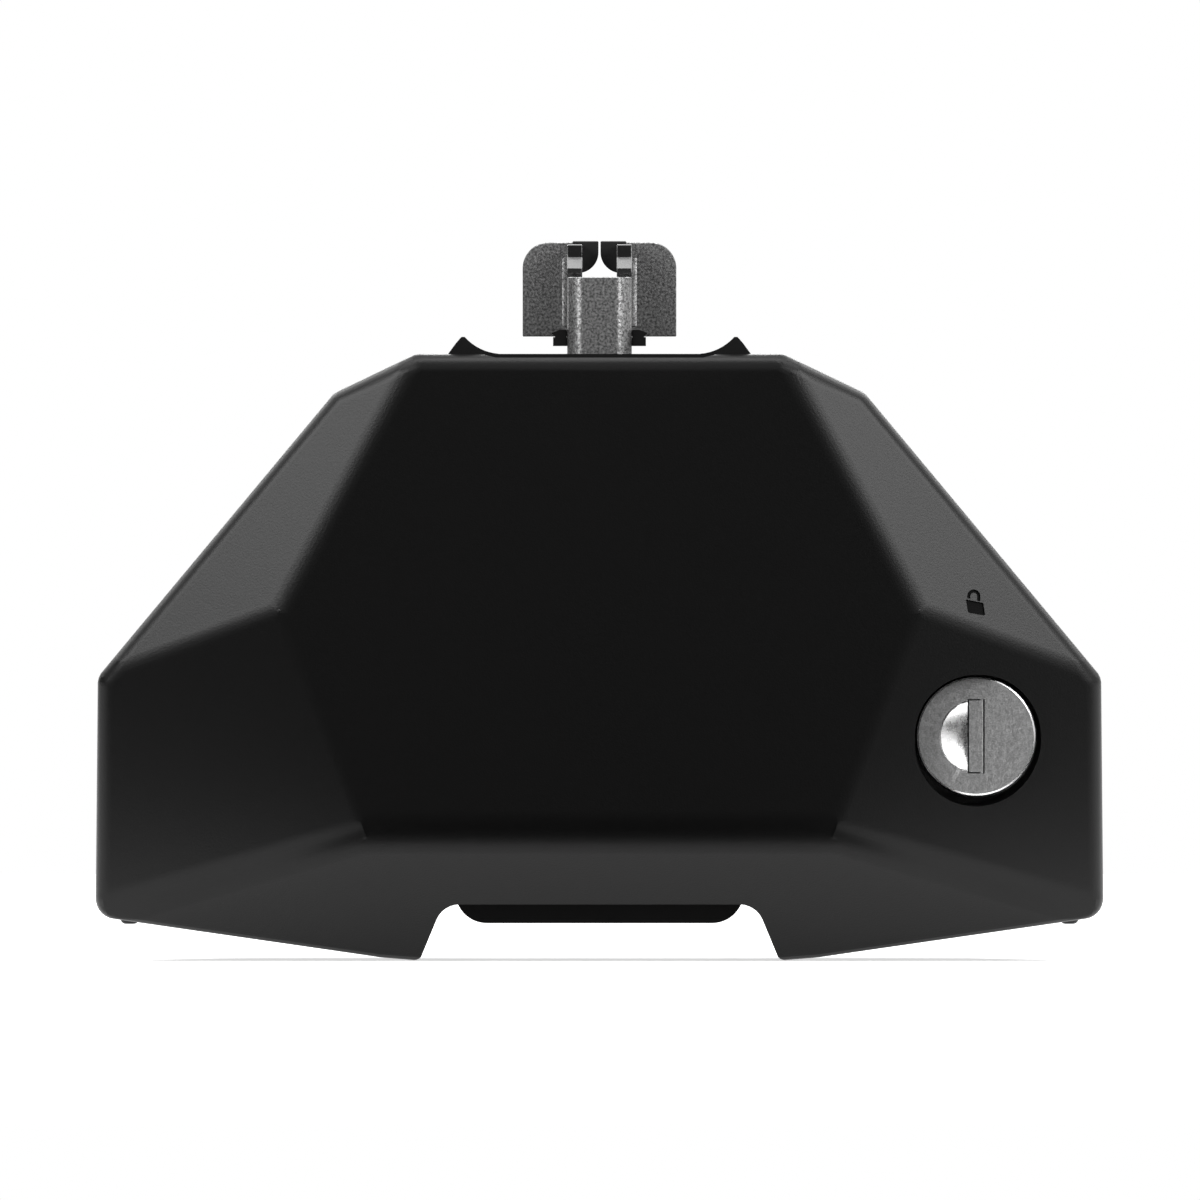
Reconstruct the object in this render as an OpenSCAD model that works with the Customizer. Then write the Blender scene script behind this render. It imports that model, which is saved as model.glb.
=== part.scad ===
// Roof bar foot: a locking plastic cover over a moulded body, with a screw-drawn clamp that
// grips a T-slot in the bar above and a claw that grips the vehicle's bracket below.
// Millimetres. X runs across the foot, Y from the cover's front face (-Y) to the back, Z up.
// The origin is at the bottom centre of the whole foot.

/* [Overall] */
// Width across the lower sides of the cover
foot_w = 160; // [145:1:190]
// Height of the cover's top edge above the standing plane
cover_h = 96.1; // [90:0.1:112]
// Depth of the foot from its front face to its back
foot_d = 92; // [80:1:110]

/* [Cover facets] */
// Half width of the cover's top edge
crown_x = 29.2; // [27:0.1:34]
// Half width at the shoulder, where the top bevel meets the long slant
shoulder_x = 42; // [38:0.1:48]
// Drop of the shoulder below the top edge
shoulder_drop = 6.1; // [3:0.1:9]
// Height of the hip, where the long slant meets the side
hip_z = 44.9; // [38:0.1:52]
// How much narrower the hip is than the widest part, on each side
hip_draft = 0.4; // [0:0.1:2]
// Height of the outer bottom corner
toe_z = 6.9; // [4:0.1:9]
// Half width of the gap between the legs at their lowest edge
leg_gap_x = 28.5; // [26.5:0.1:33]
// Half width of the front facet at its waist
waist_x = 50.6; // [44:0.1:56]
// Height of the front facet's waist
waist_z = 55.8; // [48:0.1:64]
// Half width of the front facet at its foot
facet_foot_x = 36.6; // [32:0.1:44]
// Height of the front facet's foot
facet_foot_z = 19.5; // [15:0.1:24]
// How far the hip lies behind the front face
hip_set = 10; // [6:0.1:14]

/* [Cover shell] */
// Distance from the front face to the seam between cover and body
cover_wrap = 40; // [34:1:48]
// Wall of the cover
cover_wall = 2.5; // [2:0.1:3]
// Radius of the cover's outer edges
edge_r = 3.2; // [2.7:0.1:4]
// Height of the notch between the legs
notch_z = 8.8; // [7.4:0.1:9.2]
// Lean of the notch's sides, in mm over its height
notch_lean = 3.65; // [2:0.1:5]
// Corner radius of the notch
notch_r = 4; // [3:0.1:5]
// Corner radius at the lowest edge of each leg
leg_r = 2; // [1.5:0.1:2.5]
// Depth of the shallow dip in the top edge, in front of the saddle
dip_depth = 0.6; // [0.3:0.1:1]
// Thickness of the ribs behind the front wall
cover_rib_t = 1.6; // [1:0.1:2.2]
// Height of the ribs behind the front wall
cover_rib_h = 4; // [2:0.5:6]
// Diameter of the cover's locating pegs
peg_d = 5; // [4:0.1:6]
// Diameter of the rubber bumpers under the cover's corners
bumper_d = 3; // [2.4:0.1:3.8]
// How far a bumper stands out below the cover
bumper_out = 0.6; // [0.4:0.1:0.9]

/* [Lock] */
// Distance of the lock's axis from the cover's side
lock_inset = 20.3; // [18:0.1:24]
// Height of the lock's axis
lock_z = 35.5; // [32:0.1:40]
// Diameter of the lock plug's face
plug_d = 18.9; // [16:0.1:21]
// Wall of the lock housing around the plug
housing_wall = 2; // [1.6:0.1:2.6]
// Gap between the plug's face and the rim of the pocket that it sits in
pocket_gap = 1.05; // [0.6:0.05:1.4]
// Depth of that pocket, square to the cover's facet
pocket_depth = 4.5; // [3.5:0.1:5.4]
// Width of the key slot
key_slot_w = 2.7; // [2.3:0.1:3.2]
// Length of the key slot
key_slot_l = 11.8; // [9:0.1:13]
// Radius of the half-round recess beside the key slot
thumb_r = 5.7; // [4.6:0.1:6.6]
// Thickness of the cam
cam_t = 2.5; // [2:0.1:3]

/* [Bar clamp] */
// Width of the folded clamp's channel
channel_w = 10.3; // [8.8:0.1:12]
// Depth of the folded clamp's channel, from web to wings
channel_d = 16; // [14:0.5:19]
// Sheet thickness of the folded clamp
clamp_t = 2.4; // [2:0.1:2.8]
// Span across the clamp's two wings
wing_span = 24.5; // [21:0.1:29]
// Height of the wings
wing_h = 15; // [12.5:0.1:17.5]
// Corner radius of the wings
wing_r = 4.1; // [3.4:0.1:4.8]
// Gap between the wings and the saddle, where the bar's lips go
lip_gap = 3; // [2.5:0.1:3.6]
// How far the channel's web stops below the top of the wings
web_drop = 5.6; // [4.6:0.1:6.6]
// Length of the stem below the deck, down to its pin
stem_l = 23.3; // [19:0.1:28]
// Diameter of the pin through the stem
pin_d = 6; // [5:0.1:7]
// Thickness of the plastic guide beside the channel
guide_t = 2.4; // [2:0.1:2.8]
// Height of the plastic guide
guide_h = 2.5; // [2:0.1:3]

/* [Draw mechanism] */
// Diameter of the tightening screw
screw_d = 8; // [7:0.1:9.4]
// Diameter of the screw's head
head_d = 13; // [12:0.1:15.5]
// Height of the screw's head
head_h = 5; // [4.2:0.1:6]
// Width across flats of the screw's hexagon socket
hex_af = 5; // [4.2:0.1:5.9]
// Distance of the screw's axis below the pin
screw_drop = 22; // [19:0.5:26]
// Travel of the draw block
draw_travel = 5; // [4.2:0.1:5.9]
// Thickness of the block's upright cheeks
cheek_t = 4; // [3.4:0.1:4.8]
// Thickness of the claw
claw_t = 4; // [3.4:0.1:4.6]
// Width of the claw
claw_w = 20; // [19:0.5:24]

/* [Body and frame] */
// Wall of the moulded body
body_wall = 2.6; // [2.2:0.1:3.1]
// Taper of the body's sides towards the back, in mm per mm
body_taper = 0.3; // [0.24:0.01:0.36]
// Taper of the body's long slants towards the back, in mm per mm
slant_taper = 0.15; // [0.1:0.01:0.18]
// Length of the spigot that the cover slides over
spigot_l = 14; // [12:0.5:16]
// Thickness of the rubber saddle
saddle_t = 4.3; // [3.6:0.1:5]
// Half width of the saddle at its foot
saddle_x = 24; // [23:0.1:26.5]
// Half distance between the saddle's two lips, from peak to peak
lip_x = 21.4; // [20.4:0.1:22]
// Height of the saddle's lips above its flat
lip_h = 2.7; // [2.2:0.1:3.2]
// Sheet thickness of the steel frame
frame_t = 3; // [2.5:0.1:3.5]
// Width across the steel frame
frame_w = 40; // [36:1:46]
// Thickness of the plate on top of the frame
top_plate_t = 2.5; // [2:0.1:3]
// Height of the base plate's underside, above which the vehicle's bracket goes in
base_z = 5.8; // [4.8:0.1:6.8]
// Thickness of the base plate
base_t = 3.6; // [3:0.1:4.2]
// Half width of the base plate
base_x = 22.9; // [20:0.1:24]
// Width of the slot for the vehicle's bracket
bracket_w = 26; // [22:0.5:29]
// Length of the slot for the vehicle's bracket
bracket_l = 10; // [8.4:0.1:11.6]

/* [Hidden] */
$fn = 48;
blend_fn = 28;   // facets round the balls of a blended shell
clear = 0.05;    // running clearance on a radius
slip = 0.3;      // clearance between mouldings
eps = 0.01;      // overlap of a cut past the face that it opens
big = 400;       // longer than the whole foot

// Main planes, from front to back and from the ground up
front_y = -foot_d / 2;
rear_y = foot_d / 2;
seam_y = front_y + cover_wrap;
spigot_y = seam_y - spigot_l;
deck_t = 2.5;
floor_t = 2.5;
deck_z = cover_h - saddle_t;
plate_z = deck_z - deck_t - top_plate_t;
floor_z = base_z + base_t;
frame_z = floor_z + floor_t;
frame_top = frame_z + frame_t;

function unit(v) = v / norm(v);
function flip(p) = [-p.x, p.y, p.z];

// Rounding the leg's lowest corner lifts it, so the sharp corner starts as far below the ground
leg_side = unit([-notch_lean, notch_z]);
leg_under = unit([foot_w / 2 - leg_gap_x, toe_z]);
leg_middle = unit(leg_side + leg_under);
leg_half = acos(leg_side * leg_under) / 2;
leg_z = leg_r * (1 - leg_middle.y / sin(leg_half));

// Outline of the cover seen from the front, right half, from the crown down to the leg
outline = [
    [crown_x, cover_h],
    [shoulder_x, cover_h - shoulder_drop],
    [foot_w / 2 - hip_draft, hip_z],
    [foot_w / 2, toe_z],
    [leg_gap_x, leg_z]
];
function edge_normal(i) = let (d = outline[i + 1] - outline[i]) unit([-d.y, d.x]);
// A place on one side of the outline, at a share of its length and a depth below it
function under_edge(i, share, depth) =
    outline[i] + (outline[i + 1] - outline[i]) * share - edge_normal(i) * depth;

// A plane is its outward unit normal and its distance from the origin
function plane(normal, point) = let (u = unit(normal)) [u, u * point];
function plane_by(a, b, c) =
    let (u = unit(cross(b - a, c - a)), s = sign(u * (a - [0, 0, cover_h / 2]))) [s * u, s * u * a];
function mirrored(p) = [flip(p[0]), p[1]];
function both_sides(planes) = concat(planes, [for (p = planes) mirrored(p)]);
// Where three planes meet, and the corners of the solid that a list of planes bounds
function meet(p, q, r, inset) =
    let (d = p[0] * cross(q[0], r[0]))
    abs(d) < 1e-4 ? [big, big, big] :
    ((p[1] - inset) * cross(q[0], r[0]) + (q[1] - inset) * cross(r[0], p[0])
        + (r[1] - inset) * cross(p[0], q[0])) / d;
function within(point, planes, inset) =
    len([for (p = planes) if (p[0] * point > p[1] - inset + 1e-3) 1]) == 0;
function corners(planes, inset) = [
    for (i = [0 : len(planes) - 3], j = [i + 1 : len(planes) - 2], k = [j + 1 : len(planes) - 1])
        let (point = meet(planes[i], planes[j], planes[k], inset))
        if (within(point, planes, inset)) point
];

// Side planes of the outline, each leaning inwards behind start_y by its own taper
straight = [0, 0, 0, 0];
body_tapers = [0, slant_taper, body_taper, 0];
function side_planes(start_y, tapers) = both_sides([
    for (i = [0 : 3])
        let (n = edge_normal(i)) plane([n.x, tapers[i], n.y], [outline[i].x, start_y, outline[i].y])
]);
// The outline's sides closed by a front and a back
function prism_planes(y0, y1, start_y, tapers) = concat(
    [
        plane([0, -1, 0], [0, y0, 0]),
        plane([0, 1, 0], [0, y1, 0]),
        plane([0, 0, 1], [0, 0, cover_h])
    ],
    side_planes(start_y, tapers)
);

// The same with its sides moved inwards and its ends kept
function moved_sides(y0, y1, start_y, tapers, inset) =
    let (planes = prism_planes(y0, y1, start_y, tapers))
    [for (i = [0 : len(planes) - 1]) [planes[i][0], planes[i][1] - (i < 2 ? 0 : inset)]];

// The cover's facets
facet_top = [crown_x, front_y, cover_h];
facet_waist = [waist_x, front_y, waist_z];
facet_foot = [facet_foot_x, front_y, facet_foot_z];
hip = [foot_w / 2 - hip_draft, front_y + hip_set, hip_z];
upper_facet = plane_by(facet_top, facet_waist, hip);
side_facet = plane_by(facet_waist, facet_foot, hip);
function facet_y(x, z) = (side_facet[1] - side_facet[0].x * x - side_facet[0].z * z) / side_facet[0].y;
toe = [foot_w / 2, facet_y(foot_w / 2, toe_z), toe_z];
lower_facet = plane_by(facet_foot, flip(facet_foot), toe);
cover_planes = concat(
    prism_planes(front_y, seam_y + 2 * edge_r, 0, straight),
    [lower_facet],
    both_sides([upper_facet, side_facet])
);
body_planes = prism_planes(seam_y - edge_r, rear_y, seam_y, body_tapers);

// A solid bounded by planes, with every edge rounded
module blended(planes)
    hull() for (p = corners(planes, edge_r)) translate(p) sphere(edge_r, $fn = blend_fn);
// The same with sharp edges and its sides moved inwards: what all its planes' half-spaces share
module faceted(planes, inset = 0)
    intersection_for(p = planes)
        rotate([0, acos(p[0].z), atan2(p[0].y, p[0].x)])
            translate([-big / 2, -big / 2, p[1] - inset - big]) cube(big);

// Boxes, rods and prisms
module block(low, high) translate(low) cube(high - low);
module along_x(x0, x1) translate([x0, 0, 0]) rotate([90, 0, 90]) linear_extrude(x1 - x0) children();
module along_y(y0, y1) translate([0, y1, 0]) rotate([90, 0, 0]) linear_extrude(y1 - y0) children();
module rod_x(x0, x1, y, z, d) translate([x0, y, z]) rotate([0, 90, 0]) cylinder(d = d, h = x1 - x0);
module rod_y(x, y0, y1, z, d) translate([x, y0, z]) rotate([-90, 0, 0]) cylinder(d = d, h = y1 - y0);
module rod_z(x, y, z0, z1, d) translate([x, y, z0]) cylinder(d = d, h = z1 - z0);
module mirror_pair() { children(); mirror([1, 0, 0]) children(); }
// A band from x0 outwards, and a slot between two round ends
module band(x0, width, z0, z1) translate([x0, z0]) square([width, z1 - z0]);
module slot_2d(length, r) {
    circle(r = r);
    translate([length, 0]) circle(r = r);
    translate([0, -r]) square([length, 2 * r]);
}

// Clamp, pin and slots
wing_z = cover_h + lip_gap;
wing_top = wing_z + wing_h;
web_top = wing_top - web_drop;
web_y = -channel_d / 2;
wing_y = channel_d / 2 - clamp_t;
pin_z = deck_z - deck_t - stem_l;
stem_end = pin_z - pin_d;
cheek_x = channel_w / 2 + 0.8;
ring_t = 1;
pin_ring_x = cheek_x + cheek_t + 0.4;
pin_half = pin_ring_x + ring_t + 1;
clamp_travel = lip_gap - 0.11;
slot_slope = atan(clamp_travel / draw_travel);
window_x = channel_w / 2 + guide_t + 0.9;
guide_rear = channel_d / 2 + guide_t;
window_front = web_y - 0.9;
window_rear = guide_rear + 0.9;

// Screw, draw block and frame
screw_z = pin_z - screw_drop;
block_half_h = screw_d;
block_front = claw_t + 2;
block_rear = block_front + 2 * screw_d;
cheek_front = -8;
cheek_rear = block_rear - 2;
frame_x = frame_w / 2;
block_x = frame_x - frame_t - 0.2;
wall_rear = cheek_front - draw_travel - 2;
wall_front = wall_rear - frame_t;
washer_t = 1.6;
head_rear = wall_front - washer_t;
frame_rear = rear_y - body_wall - 3.4;
shelf_y = front_y + cover_wall + 1.2;
plate_front = shelf_y + 5;
bend_r = 4;

// Base: bracket slot and the four screws through plate, moulded floor and frame
bracket_front = wall_rear + 3;
bracket_rear = bracket_front + bracket_l;
base_front = front_y + 17;
base_rear = rear_y - 3;
base_round = 5;
base_screw_d = 5;
base_hole_d = base_screw_d + 0.2;
base_screw_x = frame_x - frame_t - 4.2;
base_screw_ys = [bracket_rear + 7, frame_rear - 7];
sink_d = 9.4;
sink_h = 2.2;

// Lock, its housing and its strike plate
lock_x = foot_w / 2 - lock_inset;
facet_lock_y = facet_y(lock_x, lock_z);
plug_face = facet_lock_y + 0.7;
plug_r = plug_d / 2;
housing_r = plug_r + housing_wall;
housing_front = facet_lock_y + pocket_depth + 2.7;
strike_t = 1.5;
strike_half = 6;
strike_y = spigot_y + 4;
strike_wall_x = foot_w / 2 - hip_draft - cover_wall - slip - body_wall;
strike_screw_y = seam_y - 1.6;
strike_screw_zs = [lock_z - 3, lock_z + 3];
lock_rear = strike_y - 1.5;
cam_y = strike_y + strike_t + 0.5;
cam_end = cam_y + cam_t;
cam_reach = strike_wall_x - strike_t - lock_x - 1;
stem_d = 8;
hub_d = stem_d + 3;
ear_t = 2;
ear_z = housing_r + 3.2;
ear_d = 7;
small_screw_d = 3;
small_head_d = 5.4;
small_head_h = 1.2;

// Pegs on the cover and the bosses on the body that take them
boss_d = peg_d + 4;
boss_rear = seam_y + 3;
peg_depth = cover_wall + slip + body_wall + boss_d / 2 - 1.4;
peg_upper = under_edge(1, 0.3, peg_depth);
peg_lower = under_edge(2, 0.75, peg_depth);
peg_places = [peg_upper, [-peg_upper.x, peg_upper.y], [-peg_lower.x, peg_lower.y]];

// The gap between the legs, widened by grow on each side
module leg_gap(grow = 0) {
    foot = leg_gap_x + grow;
    step = notch_lean / notch_z;
    polygon([
        [-foot - 9 * step, -9], [foot + 9 * step, -9],
        [foot - notch_lean, notch_z], [-foot + notch_lean, notch_z]
    ]);
    mirror_pair() leg_corner([foot, leg_z]);
}
module leg_corner(tip) {
    middle = tip + leg_middle * leg_r / sin(leg_half);
    reach = leg_r / tan(leg_half);
    difference() {
        polygon([tip - leg_middle * 0.2, tip + leg_side * reach, middle, tip + leg_under * reach]);
        translate(middle) circle(r = leg_r);
    }
}

// The moulded body: a tapered shell behind the seam, a spigot and a shelf in front of it
module body_shell() color("#1b1b1c") {
    difference() {
        union() {
            difference() {
                blended(body_planes);
                block([-big, -big, -big], [big, seam_y, big]);
            }
            faceted(moved_sides(spigot_y, seam_y + 5, 0, straight, cover_wall + slip));
            block([-saddle_x, shelf_y, deck_z - deck_t], [saddle_x, spigot_y + 4, deck_z]);
        }
        difference() {
            body_cavity();
            body_floor();
        }
        block([-saddle_x - eps, -big, deck_z], [saddle_x + eps, big, big]);
        block([-window_x, window_front, deck_z - deck_t - eps], [window_x, window_rear, deck_z + eps]);
        along_y(-big, big) leg_gap(0.4);
        block([-leg_gap_x, -big, -9], [leg_gap_x, big, floor_z]);
        bracket_slot(floor_z - eps, frame_z + eps);
        base_holes(base_hole_d, floor_z - eps, frame_z + eps);
        for (z = strike_screw_zs)
            rod_x(strike_wall_x - 1, strike_wall_x + 2, strike_screw_y, z, small_screw_d + 2 * clear);
    }
    peg_bosses();
}
module body_cavity() {
    depth = cover_wall + slip + body_wall;
    intersection() {
        union() {
            faceted(moved_sides(spigot_y - 1, seam_y + 3, 0, straight, depth));
            faceted(moved_sides(seam_y + 2, rear_y - body_wall, seam_y, body_tapers, body_wall));
            block([-saddle_x, seam_y - 9, frame_z], [saddle_x, seam_y + 9, deck_z - deck_t]);
        }
        block([-big, -big, -big], [big, big, deck_z - deck_t]);
    }
}
// Floor between the legs, with a wall on each side of the gap
module body_floor()
    block([-leg_gap_x - body_wall, -big, -9], [leg_gap_x + body_wall, big, frame_z]);
module bracket_slot(z0, z1)
    block([-bracket_w / 2, bracket_front, z0], [bracket_w / 2, bracket_rear, z1]);
module base_holes(d, z0, z1)
    for (x = [-base_screw_x, base_screw_x], y = base_screw_ys) rod_z(x, y, z0, z1, d);
module peg_bosses() for (p = peg_places) difference() {
    rod_y(p.x, spigot_y + 1, boss_rear, p.y, boss_d);
    rod_y(p.x, spigot_y, boss_rear - 2, p.y, peg_d + 0.2);
}

// The rubber pad that carries the bar, with a raised lip along each side
module saddle() color("#0e0e0f") difference() {
    along_y(shelf_y + 0.2, rear_y - 2) {
        band(-saddle_x, 2 * saddle_x, deck_z, cover_h);
        mirror_pair() saddle_lip();
    }
    block([-window_x, window_front, deck_z - 1], [window_x, window_rear, cover_h + 1]);
}
module saddle_lip() {
    tip = 0.75;
    sweep = 3 * lip_h;
    difference() {
        polygon([
            [saddle_x, cover_h - 1], [saddle_x, cover_h], [lip_x + tip + 0.6, cover_h + lip_h - 1],
            [lip_x + tip, cover_h + lip_h - 0.3], [lip_x + tip - 0.3, cover_h + lip_h],
            [lip_x - tip, cover_h + lip_h], [lip_x - 2 * sweep / 3, cover_h + lip_h],
            [lip_x - 2 * sweep / 3, cover_h - 1]
        ]);
        translate([lip_x - 0.75 * sweep, cover_h + sweep]) circle(r = sweep);
        translate([0, cover_h]) square([lip_x - 0.75 * sweep, sweep]);
    }
}

// Pressed steel frame: a channel with tabs on top and a front wall that carries the screw
tab_l = 8;
tab_ys = [plate_front + 8, frame_rear - 16];
module frame() color("#3c3e42") difference() {
    union() {
        intersection() {
            along_y(-big, big) frame_section();
            along_x(-frame_x - 1, frame_x + 1) frame_profile();
        }
        block([-frame_x + frame_t - 0.5, wall_front, frame_top - 0.5],
            [frame_x - frame_t + 0.5, wall_rear, screw_z + head_d]);
    }
    rod_y(0, wall_front - 1, wall_rear + 1, screw_z, screw_d + 2 * clear);
    bracket_slot(frame_z - eps, frame_top + eps);
    base_holes(base_screw_d + 2 * clear, frame_z - eps, frame_top + eps);
    rod_x(-frame_x - 1, frame_x + 1, frame_rear - 12, pin_z + 4, 14);
}
module frame_section() {
    top = plate_z + top_plate_t;
    difference() {
        union() {
            band(-frame_x, frame_w, frame_z + bend_r, top);
            band(-frame_x + bend_r, frame_w - 2 * bend_r, frame_z, frame_z + bend_r);
            mirror_pair() translate([frame_x - bend_r, frame_z + bend_r]) circle(r = bend_r);
        }
        band(-frame_x + frame_t, frame_w - 2 * frame_t, frame_top, top + 1);
    }
}
module frame_profile() {
    polygon([
        [wall_front, frame_z], [frame_rear, frame_z], [frame_rear, plate_z], [plate_front, plate_z],
        [plate_front, plate_z - 8], [wall_front, screw_z + head_d]
    ]);
    for (y = tab_ys) band(y, tab_l, plate_z - 1, plate_z + top_plate_t);
}
module top_plate() color("#4a4c50") difference() {
    block([-frame_x, plate_front, plate_z], [frame_x, frame_rear, plate_z + top_plate_t]);
    block([-window_x, window_front, plate_z - 1], [window_x, window_rear, deck_z]);
    for (y = tab_ys) mirror_pair()
        block([frame_x - frame_t - 0.1, y - 0.1, plate_z - 1], [frame_x + 1, y + tab_l + 0.1, deck_z]);
}

// Base plate under the floor, with rounded lower edges
module base_plate() color("#141414") difference() {
    along_y(base_front, base_rear) base_section();
    bracket_slot(base_z - eps, floor_z + eps);
    base_holes(base_hole_d, base_z - eps, floor_z + eps);
    for (x = [-base_screw_x, base_screw_x], y = base_screw_ys)
        translate([x, y, base_z - eps]) cylinder(d1 = sink_d, d2 = base_hole_d, h = sink_h);
}
module base_section() difference() {
    band(-base_x, 2 * base_x, base_z, floor_z);
    mirror_pair() translate([base_x - base_round, base_z + base_round]) difference() {
        translate([0, -base_round - 1]) square(base_round + 1);
        circle(r = base_round);
    }
}
base_hex_d = 3.4;
base_hex_deep = 1.9;
module base_screws() color("#8b8d90")
    for (x = [-base_screw_x, base_screw_x], y = base_screw_ys) difference() {
        union() {
            translate([x, y, base_z + 0.1])
                cylinder(d1 = sink_d - 0.4, d2 = base_screw_d, h = sink_h - 0.1);
            rod_z(x, y, base_z + 0.1, frame_top, base_screw_d);
        }
        translate([x, y, base_z]) cylinder(d = base_hex_d, h = base_hex_deep, $fn = 6);
    }

// Angle plate inside the spigot that the lock's cam turns behind
strike_reach = lock_x + hub_d / 2 + 0.4;
module strike_plate() color("#9a9ca0") difference() {
    union() {
        block([strike_reach, strike_y, lock_z - strike_half],
            [strike_wall_x, strike_y + strike_t, lock_z + strike_half]);
        block([strike_wall_x - strike_t, strike_y, lock_z - strike_half],
            [strike_wall_x, strike_screw_y + 4, lock_z + strike_half]);
    }
    for (z = strike_screw_zs)
        rod_x(strike_wall_x - 3, strike_wall_x + 1, strike_screw_y, z, small_screw_d + 2 * clear);
}
module strike_screws() color("#b5b7ba") for (z = strike_screw_zs) {
    inner = strike_wall_x - strike_t;
    rod_x(inner - 1, strike_wall_x + 1.8, strike_screw_y, z, small_screw_d);
    rod_x(inner - small_head_h + 0.3, inner, strike_screw_y, z, small_head_d);
}

// Tightening screw with a hexagon socket, held in the frame's front wall by washer and ring
groove_d = screw_d - 1.6;
module thrust_washer() color("#a7a9ac") difference() {
    rod_y(0, head_rear, wall_front, screw_z, head_d + 4);
    rod_y(0, head_rear - 1, wall_front + 1, screw_z, screw_d + 2 * clear);
}
module tightening_screw() color("#b9bbbe") difference() {
    union() {
        rod_y(0, head_rear - head_h, head_rear, screw_z, head_d);
        rod_y(0, head_rear - 1, block_rear + 4, screw_z, screw_d);
    }
    translate([0, head_rear - head_h - 1, screw_z]) rotate([-90, 30, 0])
        cylinder(d = hex_af / cos(30), h = head_h, $fn = 6);
    difference() {
        rod_y(0, wall_rear, wall_rear + ring_t + 0.1, screw_z, screw_d + 1);
        rod_y(0, wall_rear - 1, wall_rear + ring_t + 1, screw_z, groove_d);
    }
}
module retaining_ring() color("#6e7074") difference() {
    rod_y(0, wall_rear + 0.05, wall_rear + 0.05 + ring_t, screw_z, screw_d + 5);
    rod_y(0, wall_rear - 1, wall_rear + ring_t + 1, screw_z, groove_d + 2 * clear);
    block([-1.6, wall_rear - 1, screw_z - screw_d - 3], [1.6, wall_rear + ring_t + 1, screw_z - 1]);
}

// Draw block: a threaded body with two upright cheeks that hold the slanted slots
module draw_block() color("#85878b") difference() {
    union() {
        block([-block_x, block_front, screw_z - block_half_h],
            [block_x, block_rear, screw_z + block_half_h]);
        mirror_pair() along_x(cheek_x, cheek_x + cheek_t) cheek_profile();
    }
    rod_y(0, block_front - 1, block_rear + 1, screw_z, screw_d + 2 * clear);
    for (x = rivet_xs) rod_y(x, block_front - 1, block_front + 8, rivet_z, rivet_d + 2 * clear);
}
module cheek_profile() difference() {
    polygon([
        [block_front, screw_z + block_half_h - 1.5], [cheek_front, pin_z - 8],
        [cheek_front, pin_z + 6], [cheek_front + 2, pin_z + 8], [cheek_rear - 9, pin_z + 8],
        [cheek_rear, pin_z - 2], [cheek_rear, screw_z + block_half_h],
        [block_rear - 2, screw_z + block_half_h - 1.5]
    ]);
    translate([0, pin_z]) rotate(-slot_slope)
        slot_2d(draw_travel / cos(slot_slope), pin_d / 2 + 2 * clear);
}
claw_z = frame_top + 2.5;
claw_top = screw_z + 6;
rivet_d = 4;
rivet_edge = 2.8;
rivet_drop = 3;
rivet_deep = 7.5;
rivet_head_h = 1.4;
rivet_xs = [rivet_edge - claw_w / 2, claw_w / 2 - rivet_edge];
rivet_z = screw_z - rivet_drop;
module claw() color("#6d6f73") difference() {
    union() {
        block([-claw_w / 2, block_front - claw_t, claw_z], [claw_w / 2, block_front, claw_top]);
        block([-claw_w / 2, block_front - 2 * claw_t, claw_z],
            [claw_w / 2, block_front - claw_t + 1, claw_z + claw_t]);
    }
    rod_y(0, -big, big, screw_z, screw_d + 1);
    for (x = rivet_xs) rod_y(x, -big, big, rivet_z, rivet_d + 2 * clear);
}
module claw_rivets() color("#95979a") for (x = rivet_xs) {
    rod_y(x, block_front - claw_t - rivet_head_h / 2, block_front + rivet_deep, rivet_z, rivet_d);
    rod_y(x, block_front - claw_t - rivet_head_h, block_front - claw_t, rivet_z, rivet_d + 2);
}

// Folded steel clamp: web and flanges make the channel, the wings reach into the bar's slot
nose_out = 3.4;
fold_r = 2.6;
flange_top = wing_top - 0.4;
nose_y = web_y + nose_out;
module bar_clamp() color("#56585b") difference() {
    union() {
        intersection() {
            translate([0, 0, stem_end]) linear_extrude(flange_top - stem_end) channel_plan();
            along_x(-channel_w, channel_w) flange_profile();
        }
        mirror_pair() wing();
        mirror_pair() inner_tab();
    }
    block([clamp_t - channel_w / 2, web_y - 1, web_top], [channel_w / 2 - clamp_t, wing_y - clamp_t, big]);
    rod_x(-channel_w, channel_w, 0, pin_z, pin_d + 2 * clear);
}
// Side view of the flanges: they step back above the web, and bulge forward in a nose just above it
nose_back = nose_y + 1.6;
nose_z = web_top + 1.1;
module flange_profile() polygon([
    [web_y, stem_end], [channel_d / 2, stem_end], [channel_d / 2, flange_top],
    [nose_back, flange_top], [nose_back, nose_z + 2.1], [nose_back - 0.8, nose_z + 1.6],
    [nose_back - 2.1, nose_z + 0.3], [nose_back - 2.1, nose_z - 0.4], [nose_back - 1, web_top], [web_y, web_top]
]);
module channel_plan() difference() {
    union() {
        translate([-channel_w / 2, web_y + fold_r]) square([channel_w, channel_d - fold_r]);
        translate([fold_r - channel_w / 2, web_y]) square([channel_w - 2 * fold_r, fold_r + 1]);
        mirror_pair() translate([channel_w / 2 - fold_r, web_y + fold_r]) circle(r = fold_r);
    }
    translate([clamp_t - channel_w / 2, web_y + clamp_t]) square([channel_w - 2 * clamp_t, channel_d]);
}
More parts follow.
